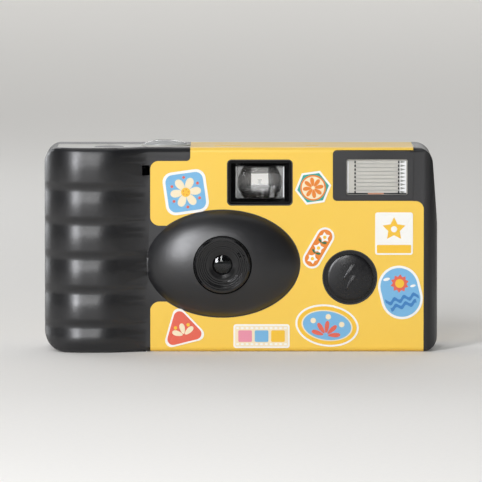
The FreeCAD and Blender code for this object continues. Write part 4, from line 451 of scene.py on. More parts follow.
def refine(node: str, material: Material, sharp_deg: float, edge: Edge = Edge.CRISP) -> Piece:
    """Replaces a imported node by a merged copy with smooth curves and, if asked, eased edges.

    Args:
        node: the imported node.
        material: its finish.
        sharp_deg: edges that turn further than this stay sharp.
        edge: whether sharp edges get a small round.

    Returns:
        The new piece.
    """
    mesh = frame["nodes"][node].data.copy()
    mesh.materials.clear()
    form = bmesh.new()
    form.from_mesh(mesh)
    bmesh.ops.remove_doubles(form, verts=form.verts, dist=MERGE_MM * MM)
    bmesh.ops.dissolve_limit(form, angle_limit=math.radians(FLAT_DEG), verts=form.verts,
                             edges=form.edges, use_dissolve_boundaries=False)
    form.to_mesh(mesh)
    form.free()
    piece = bpy.data.objects.new(node + "_finished", mesh)
    bpy.context.collection.objects.link(piece)
    if edge is Edge.EASED:
        piece = ease_edges(piece, sharp_deg)
    shade_by_angle(piece.data, sharp_deg)
    # Large flat faces keep their own direction beside narrow rounded ones.
    weights = piece.modifiers.new("weights", "WEIGHTED_NORMAL")
    weights.keep_sharp = True
    weights.weight = FLAT_WEIGHT
    piece = settle(bake_modifiers(piece), material, body_of(node))
    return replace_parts(piece, node)


def mesh_piece(name: str, form: Form) -> Piece:
    """Makes an object from a bmesh and frees it.

    Args:
        name: the object's name.
        form: its geometry, in the row frame.

    Returns:
        The new object.
    """
    mesh = bpy.data.meshes.new(name)
    form.to_mesh(mesh)
    form.free()
    piece = bpy.data.objects.new(name, mesh)
    bpy.context.collection.objects.link(piece)
    return piece


def plate(outline: Outline, thickness_mm: float, at: Matrix) -> Form:
    """Flat plate whose outline lies in its own XY plane and which rises along its own Z.

    Args:
        outline: corners of a closed outline, anticlockwise.
        thickness_mm: height of the plate.
        at: place of the plate's lower face.

    Returns:
        The plate's geometry, with faces outwards.
    """
    form = bmesh.new()
    base = form.faces.new([form.verts.new(metres(u, v, 0.0)) for u, v in outline])
    raised = bmesh.ops.extrude_face_region(form, geom=[base])
    lifted = [item for item in raised["geom"] if isinstance(item, bmesh.types.BMVert)]
    bmesh.ops.translate(form, verts=lifted, vec=metres(0.0, 0.0, thickness_mm))
    bmesh.ops.transform(form, matrix=at, verts=form.verts)
    bmesh.ops.recalc_face_normals(form, faces=form.faces)
    return form


def spun(corners: list[Vector], centre: Vector, axis: Spot, sides: int = 96) -> Form:
    """Spins a line of corners round an axis.

    Args:
        corners: the line, in metres.
        centre: a point on the axis, in metres.
        axis: direction of the axis.
        sides: steps round the axis.

    Returns:
        The skin that the line leaves.
    """
    form = bmesh.new()
    line = [form.verts.new(corner) for corner in corners]
    edges = [form.edges.new(pair) for pair in zip(line, line[1:])]
    bmesh.ops.spin(form, geom=line + edges, cent=centre, axis=axis, angle=FULL_TURN, steps=sides,
                   use_merge=True)
    bmesh.ops.remove_doubles(form, verts=form.verts, dist=WELD_MM * MM)
    return form


def turned(profile: list[Point], centre: Vector) -> Form:
    """Turns a closed form round an axis along Y.

    Args:
        profile: radius and depth of each corner in millimetres, from axis to axis.
        centre: place of the profile's origin on the axis.

    Returns:
        The form, with faces outwards.
    """
    corners = [centre + metres(radius, depth, 0.0) for radius, depth in profile]
    form = spun(corners, centre, (0.0, 1.0, 0.0))
    bmesh.ops.recalc_face_normals(form, faces=form.faces)
    return form


def cap_arc(ball_mm: float, reach_mm: float, steps: int = 10) -> list[Point]:
    """Radius and depth of points on a ball's front, from the axis out to reach_mm."""
    run = [reach_mm * i / steps for i in range(steps + 1)]
    return [(r, ball_mm - math.sqrt(ball_mm ** 2 - r * r)) for r in run]


def polar(reach: float, turn: float) -> Point:
    """Point at a distance and direction from the origin."""
    return reach * math.cos(turn), reach * math.sin(turn)


def moved(outline: Outline, dx: float, dy: float) -> Outline:
    """The same outline, shifted."""
    return [(u + dx, v + dy) for u, v in outline]


def ring_of(radius: float, count: int = 48, squeeze: float = 1.0) -> Outline:
    """Points round a circle or, with squeeze, round an ellipse."""
    corners = [polar(radius, FULL_TURN * i / count) for i in range(count)]
    return [(u, squeeze * v) for u, v in corners]


def star(outer: float, inner: float, points: int, turn: float = 0.0) -> Outline:
    """Points of a star, the first one along turn."""
    return [polar((outer, inner)[i % 2], turn + math.pi * i / points) for i in range(2 * points)]


def softened(middles: list[Point], radius: float, first_turn: float, steps: int) -> Outline:
    """Outline of arcs round the given middles, each going on in the direction where the last one ends."""
    span = FULL_TURN / len(middles)
    return [point for corner, middle in enumerate(middles) for point in moved(
        [polar(radius, first_turn + span * (corner + step / steps)) for step in range(steps + 1)], *middle)]


def rounded(width: float, height: float, radius: float, steps: int = 6) -> Outline:
    """Rectangle with round corners about the origin."""
    across, up = width / 2.0 - radius, height / 2.0 - radius
    return softened([(across, up), (-across, up), (-across, -up), (across, -up)], radius, 0.0, steps)


def soft_triangle(reach: float, steps: int = 8) -> Outline:
    """Upright triangle with round corners, whose tips are at reach from the origin."""
    middles = [polar(0.7 * reach, math.radians(turn)) for turn in (90.0, 210.0, 330.0)]
    return softened(middles, 0.3 * reach, math.radians(30.0), steps)


def petal(length: float, width: float, turn: float, count: int = 16) -> Outline:
    """Petal or leaf that starts at the origin and is widest beyond its middle.

    Args:
        length: how far it reaches.
        width: its whole width.
        turn: direction that it points in.
        count: number of corners.

    Returns:
        Its corners, anticlockwise.
    """
    points: Outline = []
    for step in range(count):
        angle = FULL_TURN * step / count
        along = length * (1.0 - math.cos(angle)) / 2.0
        across = width / 2.0 * math.sin(angle) * (0.6 + 0.4 * along / length)
        points.append((along * math.cos(turn) - across * math.sin(turn),
                       along * math.sin(turn) + across * math.cos(turn)))
    return points


def spray(count: int, first_deg: float, step_deg: float, length: float, width: float,
          gap: float) -> list[Outline]:
    """Petals that point away from one centre, with a gap round it so that none overlap."""
    turns = [math.radians(first_deg + step_deg * i) for i in range(count)]
    return [moved(petal(length, width, turn), *polar(gap, turn)) for turn in turns]


def dots(count: int, reach: float, radius: float, turn_deg: float = 0.0) -> list[Outline]:
    """Small discs in a circle about the origin."""
    turns = [math.radians(turn_deg + 360.0 * i / count) for i in range(count)]
    return [moved(ring_of(radius, 20), *polar(reach, turn)) for turn in turns]


def wave(reach: float, height: float, swell: float, steps: int = 24) -> Outline:
    """Wavy band a little over a millimetre high.

    Args:
        reach: how far it goes to either side.
        height: middle of its upper edge.
        swell: how far the edge rises and falls.
        steps: corners along it.

    Returns:
        Its corners, anticlockwise.
    """
    run = [reach * (2.0 * i / steps - 1.0) for i in range(steps + 1)]
    upper = [(u, height + swell * math.sin(2.2 * u)) for u in run]
    return moved(upper, 0.0, -1.1) + upper[::-1]


class RepeatTree(Nodes):
    """Geometry Nodes tree that repeats a small mesh along a line or round an axis."""

    SOCKETS = (("Geometry", "Geometry"), ("Count", "Int"), ("Start", "Vector"), ("Step", "Vector"),
               ("Centre", "Vector"), ("Axis", "Vector"), ("Turn", "Float"), ("Finish", "Material"))

    def __init__(self) -> None:
        """Builds the tree once, with named inputs."""
        super().__init__(bpy.data.node_groups.new("repeat_piece", "GeometryNodeTree"))
        sockets = self.tree.interface
        self.ids = {name: sockets.new_socket(
            name, in_out="INPUT", socket_type="NodeSocket" + kind).identifier
            for name, kind in self.SOCKETS}
        sockets.new_socket("Geometry", in_out="OUTPUT", socket_type="NodeSocketGeometry")
        given = self.add("NodeGroupInput")
        index = self.add("GeometryNodeInputIndex")["Index"]
        axis = given["Axis"]
        travel = self.add("ShaderNodeVectorMath", {0: given["Step"], 1: index, 2: given["Start"]},
                          operation="MULTIPLY_ADD")[0]
        angle = self.add("ShaderNodeMath", {0: given["Turn"], 1: index}, operation="MULTIPLY")[0]
        spot = self.add("ShaderNodeVectorRotate", {
            "Vector": travel, "Center": given["Centre"], "Axis": axis, "Angle": angle},
            rotation_type="AXIS_ANGLE")["Vector"]
        turn = self.add("FunctionNodeAxisAngleToRotation", {"Axis": axis, "Angle": angle})[0]
        points = self.add("GeometryNodePoints", {"Count": given["Count"], "Position": spot})[0]
        copies = self.add("GeometryNodeInstanceOnPoints", {
            "Points": points, "Instance": given["Geometry"], "Rotation": turn})[0]
        real = self.add("GeometryNodeRealizeInstances", {"Geometry": copies})[0]
        finish = self.add("GeometryNodeSetMaterial", {"Geometry": real, "Material": given["Finish"]})
        self.add("NodeGroupOutput", {0: finish[0]})

    def repeat(self, name: str, form: Form, finish: Material, values: Inputs) -> Piece:
        """Repeats a small form and turns the result into a plain mesh.

        Args:
            name: name of the piece.
            form: one copy, drawn about the origin.
            finish: material of the copies.
            values: the tree's inputs by name.

        Returns:
            The piece with all copies in its mesh.
        """
        piece = mesh_piece(name, form)
        modifier = piece.modifiers.new("repeat", "NODES")
        modifier.node_group = self.tree
        for key, value in {**values, "Finish": finish}.items():
            modifier[self.ids[key]] = value
        return bake_modifiers(piece)


REPEAT = RepeatTree()


@dataclass
class Casing:
    """Moulded covers, top plate, counter window and wrap label."""

    grip_sharp_deg: float = 34.0
    cover_sharp_deg: float = 36.0
    window_sharp_deg: float = 60.0
    label_sharp_deg: float = 50.0
    black: Finish = MouldedPlastic(
        "black_abs", "111113", "18181B", roughness=0.36, grain_mm=0.5, grain_depth_mm=0.026, specular=0.8)
    rear_black: Finish = MouldedPlastic(
        "black_abs_rear", "111113", "18181B", roughness=0.4, specular=0.75)
    # The top plate's pale grey is a painted reflection: it stands in for the overhead light's sheen on its
    # black plastic.
    painted_sheen_grey: Finish = MouldedPlastic("pale_grey_painted_sheen", "B4B3AC", "A9A8A1", roughness=0.46)
    window: Finish = ClearPlastic("clear_styrene_window", "EEF1EE", roughness=0.08, haze=0.35)
    label: Finish = PrintedFilm("gold_label_film", "F8CE54", "F4C84C")

    def build(self) -> list[Piece]:
        """Refines the outer shells.

        Returns:
            The finished pieces.
        """
        rear = self.rear_black.make()
        return [refine("front_cover", self.black.make(), self.grip_sharp_deg),
                refine("rear_cover", rear, self.cover_sharp_deg),
                refine("cassette_hatch", rear, self.cover_sharp_deg),
                # Top plate in pale grey as painted sheen, not its own colour.
                refine("top_plate", self.painted_sheen_grey.make(), self.cover_sharp_deg, Edge.EASED),
                refine("counter_window", self.window.make(), self.window_sharp_deg),
                refine("wrap_label", self.label.make(), self.label_sharp_deg)]


@dataclass
class StickerSet:
    """Generic motifs on thin vinyl over the wrap label: fruit, flowers, sea, leaves and a film strip.

    Each sticker is a stack of layers. A layer gives the last word of its name, its ink, the number of
    films below it and its outlines about the sticker's centre.
    """

    front_y_mm: float = -10.5
    film_mm: float = 0.05
    strip_spot: Spot = (6.0, 4.6, 0.0)
    frame_pitch_mm: float = 4.8
    hole_pitch_mm: float = 1.4
    hole_count: int = 11
    blossom_pitch_mm: float = 3.6
    white: Finish = PrintedFilm("white_vinyl", "FBFAF5", "F4F2EC", roughness=0.3, coat=0.35)
    inks: dict[str, str] = field(default_factory=lambda: {
        "orange": "F08A2C", "cream": "FFEFCB", "coral": "EE6A55", "teal": "2FA79A", "leaf": "1E6F4B",
        "sky": "7DBDE8", "deep": "3F86C8", "sun": "FFCB3A", "rose": "F59BB0"})
    films: dict[str, Material] = field(default_factory=dict)

    def build(self) -> list[Piece]:
        """Lays all the stickers.

        Returns:
            One object per ink and sticker.
        """
        self.films = {ink: PrintedFilm(ink + "_ink", colour, deeper(colour), roughness=0.3,
                                       coat=0.35).make() for ink, colour in self.inks.items()}
        self.films["white"] = self.white.make()
        return (self.citrus() + self.flower() + self.sea() + self.leaves() + self.strip()
                + self.bouquet() + self.card())

    def stack(self, name: str, spot: Spot, border: Outline,
              layers: list[tuple[str, str, int, list[Outline]]]) -> list[Piece]:
        """Lays the layers of one sticker on the label's front.

        Args:
            name: first word of the pieces' names.
            spot: x and z in millimetres and tilt in degrees.
            border: outline of its white border, which lies lowest.
            layers: last word, ink, films below it and outlines of each other layer.

        Returns:
            The finished layers.
        """
        x_mm, z_mm, tilt_deg = spot
        turn = UPRIGHT @ Matrix.Rotation(math.radians(tilt_deg), 4, "Z")
        pieces = []
        for part, ink, below, outlines in [("border", "white", 0, [border]), *layers]:
            at = Matrix.Translation(metres(x_mm, self.front_y_mm - self.film_mm * below, z_mm)) @ turn
            whole = bmesh.new()
            for outline in outlines:
                cut = bpy.data.meshes.new("layer")
                form = plate(outline, self.film_mm, at)
                form.to_mesh(cut)
                form.free()
                whole.from_mesh(cut)
                bpy.data.meshes.remove(cut)
            piece = mesh_piece(name + "_" + part, whole)
            pieces.append(settle(piece, self.films[ink]))
        return pieces

    def citrus(self) -> list[Piece]:
        """Six-sided sticker with a slice of citrus.

        Returns:
            Its layers.
        """
        return self.stack("citrus", (21.0, 48.0, 8.0), ring_of(5.35, 6), [
            ("ground", "teal", 1, [ring_of(4.65, 6)]),
            ("rind", "orange", 2, [ring_of(3.75)]),
            ("pith", "cream", 3, [ring_of(3.3)]),
            ("wedges", "orange", 4, spray(8, 0.0, 45.0, length=2.6, width=1.4, gap=0.45))])

    def flower(self) -> list[Piece]:
        """Square sticker with a six-petal flower.

        Returns:
            Its layers.
        """
        return self.stack("flower", (-16.1, 46.7, 8.0), rounded(12.6, 12.6, 2.8), [
            ("ground", "sky", 1, [rounded(11.0, 11.0, 2.2)]),
            ("petals", "cream", 2, spray(6, 0.0, 60.0, length=3.9, width=2.8, gap=0.6)),
            ("heart", "sun", 3, [ring_of(1.35)]),
            ("dots", "coral", 2, dots(6, 4.35, 0.42, turn_deg=30.0)),
            ("seeds", "orange", 4, dots(5, 0.75, 0.18))])

    def sea(self) -> list[Piece]:
        """Long round sticker with a sun over two waves.

        Returns:
            Its layers.
        """
        sun = (0.4, 2.6)
        return self.stack("sea", (46.5, 17.4, 14.0), rounded(12.2, 15.8, 6.1, 12), [
            ("sky", "sky", 1, [rounded(10.8, 14.4, 5.4, 12)]),
            ("sun", "coral", 2, [moved(star(2.7, 2.0, 10), *sun)]),
            ("water", "deep", 3, [wave(4.9, -1.4, swell=0.55), wave(3.9, -3.3, swell=0.5)]),
            ("sun_disc", "sun", 3, [moved(ring_of(1.3, 24), *sun)]),
            ("clouds", "white", 2, [moved(ring_of(1.0, 24, squeeze=0.45), -3.0, 4.7),
                                    moved(ring_of(0.8, 24, squeeze=0.45), 4.0, 1.0)])])

    def leaves(self) -> list[Piece]:
        """Three-cornered sticker with a sprig, and an oval one with a fan of leaves.

        Returns:
            The layers of both.
        """
        blades = spray(3, 30.0, 60.0, length=3.2, width=1.9, gap=0.4)
        fan = spray(5, 10.0, 40.0, length=3.6, width=1.6, gap=0.7)
        berries = ((-4.2, 0.9), (0.0, 2.6), (4.2, 0.9))
        return self.stack("sprig", (-17.0, 6.4, 14.0), soft_triangle(6.4), [
            ("ground", "coral", 1, [soft_triangle(5.6)]),
            ("blades", "cream", 2, [moved(blade, 0.0, -1.6) for blade in blades]),
            ("berries", "sun", 2, [moved(ring_of(0.5, 20), side, 1.1) for side in (-1.9, 1.9)])
        ]) + self.stack("oval", (25.1, 7.7, -8.0), ring_of(9.3, squeeze=0.66), [
            ("ground", "sun", 1, [ring_of(8.7, squeeze=0.64)]),
            ("line", "cream", 2, [ring_of(7.5, squeeze=0.6)]),
            ("field", "sky", 3, [ring_of(7.1, squeeze=0.59)]),
            ("fan", "coral", 4, [moved(leaf, 0.0, -2.9) for leaf in fan]),
            ("berries", "cream", 4, [moved(ring_of(0.8, 24), *berry) for berry in berries])])

    def strip(self) -> list[Piece]:
        """Strip of film with three pictures and its perforations.

        Returns:
            Its layers and both rows of holes.
        """
        picture = rounded(4.0, 3.4, 0.4)
        pictures = [("frame_" + ink, ink, 2, [moved(picture, self.frame_pitch_mm * i, 0.0)])
                    for i, ink in ((-1, "rose"), (0, "sky"), (1, "sun"))]
        pieces = self.stack("strip", self.strip_spot, rounded(16.4, 7.0, 0.8), [
            ("film", "cream", 1, [rounded(15.4, 6.0, 0.4)]), *pictures])
        return pieces + [self.perforations("low", -2.35), self.perforations("high", 2.35)]

    def perforations(self, side: str, row_mm: float) -> Piece:
        """Row of small white perforations along the printed film.

        Args:
            side: last word of the piece's name.
            row_mm: height of the row above the sticker's middle.

        Returns:
            The finished row.
        """
        x_mm, z_mm, _ = self.strip_spot
        first_mm = x_mm - self.hole_pitch_mm * (self.hole_count - 1) / 2.0
        row = REPEAT.repeat(
            "strip_holes_" + side, plate(rounded(0.8, 0.55, 0.12, 2), self.film_mm, UPRIGHT),
            self.films["white"], {
                "Count": self.hole_count, "Step": metres(self.hole_pitch_mm, 0.0, 0.0),
                "Start": metres(first_mm, self.front_y_mm - 2.0 * self.film_mm, z_mm + row_mm)})
        return settle(row, self.films["white"])

    def bouquet(self) -> list[Piece]:
        """Long sticker with three small blossoms.

        Returns:
            Its layers.
        """
        pitch = self.blossom_pitch_mm
        sprigs = [moved(petal(1.5, 0.8, math.radians(turn)), side * pitch / 2.0, 0.0)
                  for side in (-1, 1) for turn in (65.0, -65.0)]
        return self.stack("bouquet", (22.6, 30.4, 60.0), rounded(13.0, 5.4, 2.6), [
            ("sprigs", "leaf", 2, sprigs),
            ("ground", "orange", 1, [rounded(11.8, 4.2, 2.05)]),
            ("blossoms", "white", 2, [moved(star(1.6, 0.95, 5, 0.3 * i), pitch * (i - 1), 0.0)
                                      for i in range(3)]),
            ("hearts", "sun", 3, [moved(ring_of(0.5, 20), pitch * (i - 1), 0.0) for i in range(3)])])

    def card(self) -> list[Piece]:
        """White card with a gold star over a gold band.

        Returns:
            Its layers.
        """
        middle = (0.0, 1.3)
        return self.stack("card", (44.6, 34.6, 0.0), rounded(11.0, 12.4, 0.7), [
            ("star", "sun", 1, [moved(star(3.5, 1.75, 5, math.pi / 2.0), *middle)]),
            ("heart", "white", 2, [moved(ring_of(0.9, 24), *middle)]),
            ("band", "sun", 1, [moved(rounded(10.0, 2.4, 0.3), 0.0, -4.5)])])


@dataclass
class LensBarrel:
    """Stepped funnel round the small meniscus lens, with a near-black ring of painted shadow in the gap
    round it.
    """

    x_mm: float = -5.4
    z_mm: float = 25.8
    crown_y_mm: float = -14.6
    lens_r_mm: float = 2.55
    front_ball_mm: float = 7.4
    back_ball_mm: float = 12.0
    thickness_mm: float = 1.4
    gap_mm: Point = (8.2, 8.55)
    gap_lift_mm: float = 0.06
    gap_shadow_sides: int = 144
    gloss: Finish = MouldedPlastic(
        "black_abs_satin", "0A0A0C", "101012", roughness=0.13, grain_depth_mm=0.002)
    # Near-black, dull ring for the gap round the funnel: painted shadow, where the real gap is only in
    # shade.
    shadow: Finish = MouldedPlastic("black_painted_gap_shadow", "030303", "060606", roughness=0.8, specular=0.05)
    # The clear lens is tinted dark grey: painted shade for the dark inside of the camera seen through it,
    # which also keeps noise from light through the lens down.
    glass: Finish = ClearPlastic(
        "acrylic_lens_painted_dark", "585E64", "62686E", roughness=0.008, ior=1.55, wave_depth_mm=0.0002)

    def build(self) -> list[Piece]:
        """Refines the funnel, turns a smooth lens and lays the ring of painted shadow in the gap.

        Returns:
            Funnel, lens and the ring of painted shadow.
        """
        front = cap_arc(self.front_ball_mm, self.lens_r_mm)
        back = moved(cap_arc(self.back_ball_mm, self.lens_r_mm), 0.0, self.thickness_mm)
        lens = mesh_piece("meniscus_lens", turned(
            front + back[::-1], metres(self.x_mm, self.crown_y_mm, self.z_mm)))
        shade_by_angle(lens.data, sharp_deg=40.0)
        settle(lens, self.glass.make())
        # The gap's shadow is painted by a near-black ring.
        gap_shadow = settle(self.gap_shadow(), self.shadow.make())
        funnel = refine("lens_retainer", self.gloss.make(), sharp_deg=30.0)
        return [funnel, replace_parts(lens, "taking_lens"), gap_shadow]

    def gap_shadow(self) -> Piece:
        """Lays a near-black ring in the gap round the funnel, as painted shadow in the gap.

        Returns:
            The ring, which follows the dome's surface.
        """
        cover = frame["nodes"]["front_cover"].data
        dome = BVHTree.FromPolygons([vert.co for vert in cover.vertices],
                                    [tuple(face.vertices) for face in cover.polygons])
        inner, outer = self.gap_mm
        lift = self.gap_lift_mm
        form = bmesh.new()
        loops = []
        for step in range(self.gap_shadow_sides):
            across, up = polar(1.0, FULL_TURN * step / self.gap_shadow_sides)
            loop = []
            for radius, sink in ((inner, lift), (inner, -lift), (outer, -lift), (outer, lift)):
                # Each corner follows the dome where a ray from well before it lands.
                start = metres(self.x_mm + radius * across, 3.0 * self.crown_y_mm,
                               self.z_mm + radius * up)
                hit = dome.ray_cast(start, Vector((0.0, 1.0, 0.0)))[0]
                loop.append(form.verts.new(hit + metres(0.0, sink, 0.0)))
            loops.append(loop)
        for loop, after in zip(loops, loops[1:] + loops[:1]):
            for corner in range(len(loop)):
                form.faces.new((loop[corner], loop[corner - 1], after[corner - 1], after[corner]))
        bmesh.ops.recalc_face_normals(form, faces=form.faces)
        return mesh_piece("funnel_painted_gap_shadow", form)


@dataclass
class Viewfinder:
    """Clear front lens, rear eyepiece and the housing between them."""

    x_mm: float = 5.5
    z_mm: float = 49.5
    land_y_mm: float = -7.6
    lens_mm: Point = (14.3, 9.5)
    edge_mm: float = 0.34
    edge_inset_mm: float = 0.25
    edge_rise_mm: float = 0.04
    sharp_deg: float = 40.0
    glass: Finish = ClearPlastic(
        "styrene_finder_lens", "FFFFFF", roughness=0.02, ior=1.59, glint="707070")
    frost: Finish = ClearPlastic(
        "styrene_finder_land", "C9CCCB", "D9DCDB", roughness=0.22, ior=1.59, haze=0.2)
    # Near-white bars paint the highlight that the front lens's clear edges catch.
    edge: Finish = ClearPlastic("styrene_painted_edge_highlight", "F2F4F3", roughness=0.3, haze=0.85)
    shell: Finish = MouldedPlastic(
        "black_styrene_finder", "060607", "0A0A0B", roughness=0.26, grain_depth_mm=0.001, specular=0.2)

    def build(self) -> list[Piece]:
        """Refines the finder's optics and housing and lays near-white bars on the front lens's moulded
        edges as a painted highlight.

        Returns:
            Front lens, its painted edge highlights, eyepiece and housing.
        """
        lens = refine("viewfinder_front_lens", self.glass.make(), self.sharp_deg)
        lens.data.materials.append(self.frost.make())
        for face in lens.data.polygons:
            # The land round the lens is flat and faces the front, and it is frosted.
            if face.normal.y < -0.999:
                face.material_index = 1
        width, height = self.lens_mm
        inset = self.edge_inset_mm
        # Painted highlight: near-white bars along the lens's left and right edges.
        painted_highlight = self.edge.make()
        bar = rounded(self.edge_mm, height - 2.0 * inset, 0.15, 3)
        edges = REPEAT.repeat("finder_painted_edge_highlights", plate(bar, self.edge_rise_mm, UPRIGHT), painted_highlight, {
            "Count": 2, "Step": metres(width - 2.0 * inset, 0.0, 0.0),
            "Start": metres(self.x_mm - width / 2.0 + inset, self.land_y_mm, self.z_mm)})
        return [lens, settle(edges, painted_highlight),
                refine("viewfinder_eyepiece", self.glass.make(), self.sharp_deg),
                refine("viewfinder_housing", self.shell.make(), self.sharp_deg)]


@dataclass
class FlashUnit:
    """Ribbed flash window, bright reflector, tube and ready light."""

    x_mm: float = 39.6
    z_mm: float = 51.1
    face_y_mm: float = -9.9
    inner_height_mm: float = 9.9
    rib_count: int = 9
    column_mm: float = 6.35
    facet_mm: float = 7.6
    left_edge_mm: float = -8.5
    groove_mm: float = 0.17
    film_mm: float = 0.05
    sink_mm: float = 0.01
    window: Finish = ClearPlastic("clear_styrene_flash", "FBF8EE", "FFFDF6", roughness=0.08, haze=0.48)
    # Painted shade and highlights: flat films that stand in for the light and shade of the window's moulded
    # ribs.
    dimple_shade: Finish = ClearPlastic("styrene_painted_dimple_shade", "1E201F", "2A2C2B", roughness=0.3, haze=0.95)
    groove_shade: Finish = ClearPlastic("styrene_painted_groove_shade", "8E918B", "9A9D97", roughness=0.3, haze=0.85)
    painted_highlight: Finish = ClearPlastic("styrene_painted_facet_highlight", "FFFFFF", roughness=0.15, haze=0.9)
    lead: Finish = RolledMetal("copper_trigger_lead", "D9A48C", "C48E76", roughness=0.35)
    mirror: Finish = RolledMetal("bright_aluminium", "E8E9EA", "C9CBCD", roughness=0.18)
    tube: Finish = ClearPlastic("flash_glass", "F3F4EE", roughness=0.05)
    guide: Finish = ClearPlastic("amber_light_guide", "F4E6D8", roughness=0.1)

    def build(self) -> list[Piece]:
        """Refines the flash and lays thin films on its window that paint the light and shade of its moulded
        ribs, with the copper trigger lead.

        Returns:
            Window, reflector, tube, light guide, the columns of painted light and shade and the trigger
            lead.
        """
        pieces = [refine("flash_window", self.window.make(), sharp_deg=30.0),
                  refine("flash_reflector", self.mirror.make(), sharp_deg=30.0),
                  refine("flash_tube", self.tube.make(), sharp_deg=40.0),
                  refine("ready_light_guide", self.guide.make(), sharp_deg=40.0)]
        dimple_shade, groove_shade, painted_highlight = self.dimple_shade.make(), self.groove_shade.make(), self.painted_highlight.make()
        lead = self.lead.make()
        rows = self.rib_count
        low = 0.1 - self.inner_height_mm / 2.0
        drop = moved(petal(0.8, 0.64, -math.pi / 2.0), 0.0, 0.4)
        wedge = [(-0.75, -0.4), (0.75, 0.02), (-0.75, 0.4)]
        line = rounded(2.0 * self.column_mm, self.groove_mm, 0.4 * self.groove_mm, 3)
        # Dimples, grooves, facets and the low edge are painted shade, end panel and left edge are painted
        # highlights, and the trigger lead is a real copper part.
        # Each row: name, outline of one mark, distance from the middle, marks, finish, films below.
        columns = (
            ("end_highlight_panel", rounded(1.9, 9.5, 0.2), self.facet_mm, 1, painted_highlight, 0),
            ("left_edge_highlight", rounded(0.45, 9.7, 0.15), self.left_edge_mm, 1, painted_highlight, 0),
            ("dimple_shade_left", drop, -self.column_mm, rows, dimple_shade, 0),
            ("dimple_shade_right", drop, self.column_mm, rows, dimple_shade, 0),
            ("facet_shade", wedge, self.facet_mm, rows, groove_shade, 1),
            ("groove_shade_lines", line, 0.0, rows - 1, groove_shade, 0),
            ("low_edge_shadow", moved(rounded(17.2, 0.4, 0.1, 3), 0.0, low), 0.0, 1, dimple_shade, 0),
            ("trigger_lead", moved(rounded(4.6, 0.46, 0.1, 3), 0.0, low), -0.3, 1, lead, 1))
        pitch = self.inner_height_mm / rows
        for name, outline, side_mm, count, finish, below in columns:
            start = metres(self.x_mm + side_mm, self.face_y_mm + self.sink_mm - self.film_mm * below,
                           self.z_mm - pitch * (count - 1) / 2.0)
            column = REPEAT.repeat("flash_" + name, plate(outline, self.film_mm, UPRIGHT), finish, {
                "Count": count, "Start": start, "Step": metres(0.0, 0.0, pitch)})
            pieces.append(settle(column, finish))
        return pieces


@dataclass
class ChargeButton:
    """Domed flash button with an embossed generic bolt."""

    x_mm: float = 31.75
    z_mm: float = 21.8
    crown_y_mm: float = -10.9
    ball_mm: float = 37.7
    cap_r_mm: float = 6.7
    cap_round_mm: float = 0.25
    shoulder_mm: float = 1.7
    flange_r_mm: float = 8.2
    depth_mm: float = 2.3
    bolt_height_mm: float = 7.8
    bolt_rise_mm: float = 0.3
    bolt_lift_mm: float = 0.03
    black: Finish = MouldedPlastic(
        "black_abs_button", "121214", "19191C", roughness=0.28, grain_depth_mm=0.004)

    def bolt(self, steps: int = 5) -> Outline:
        """Bolt with two kinks, as on any mains or flash sign, each side in short steps.

        Args:
            steps: parts of each side, so that the sign can follow the crown.

        Returns:
            Its corners in millimetres.
        """
        half = self.bolt_height_mm / 2.0
        corners = ((0.12, 1.0), (-0.56, -0.14), (-0.08, -0.14), (-0.34, -1.0), (0.56, 0.2), (0.06, 0.2),
                   (0.44, 1.0))
        return [((u0 + (u1 - u0) * i / steps) * half, (v0 + (v1 - v0) * i / steps) * half)
                for (u0, v0), (u1, v1) in zip(corners, corners[1:] + corners[:1]) for i in range(steps)]

    def build(self) -> list[Piece]:
        """Turns a domed cap and lays the bolt over its crown.

        Returns:
            Cap and bolt.
        """
        black = self.black.make()
        body = body_of("charge_button")
        crown = metres(self.x_mm, self.crown_y_mm, self.z_mm)
        side = [(self.cap_r_mm - 0.08, 0.66), (self.cap_r_mm, 0.78), (self.cap_r_mm, self.shoulder_mm),
                (self.flange_r_mm, self.shoulder_mm), (self.flange_r_mm, self.depth_mm),
                (0.0, self.depth_mm)]
        cap = mesh_piece("charge_cap", turned(
            cap_arc(self.ball_mm, self.cap_r_mm - self.cap_round_mm) + side, crown))
        shade_by_angle(cap.data, sharp_deg=60.0)
        settle(cap, black, body)
        form = plate(self.bolt(), self.bolt_rise_mm, Matrix.Translation(crown) @ UPRIGHT)
        for corner in form.verts:
            # Every corner sinks with the ball's surface, so the sign keeps its height over the cap.
            reach = math.hypot(corner.co.x - crown.x, corner.co.z - crown.z)
            corner.co.y += reach ** 2 / (2.0 * self.ball_mm * MM) + self.bolt_lift_mm * MM
        bolt = ease_edges(mesh_piece("charge_bolt", form), over_deg=50.0)
        shade_by_angle(bolt.data, sharp_deg=40.0)
        return [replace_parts(cap, "charge_button"), settle(bolt, black, body)]


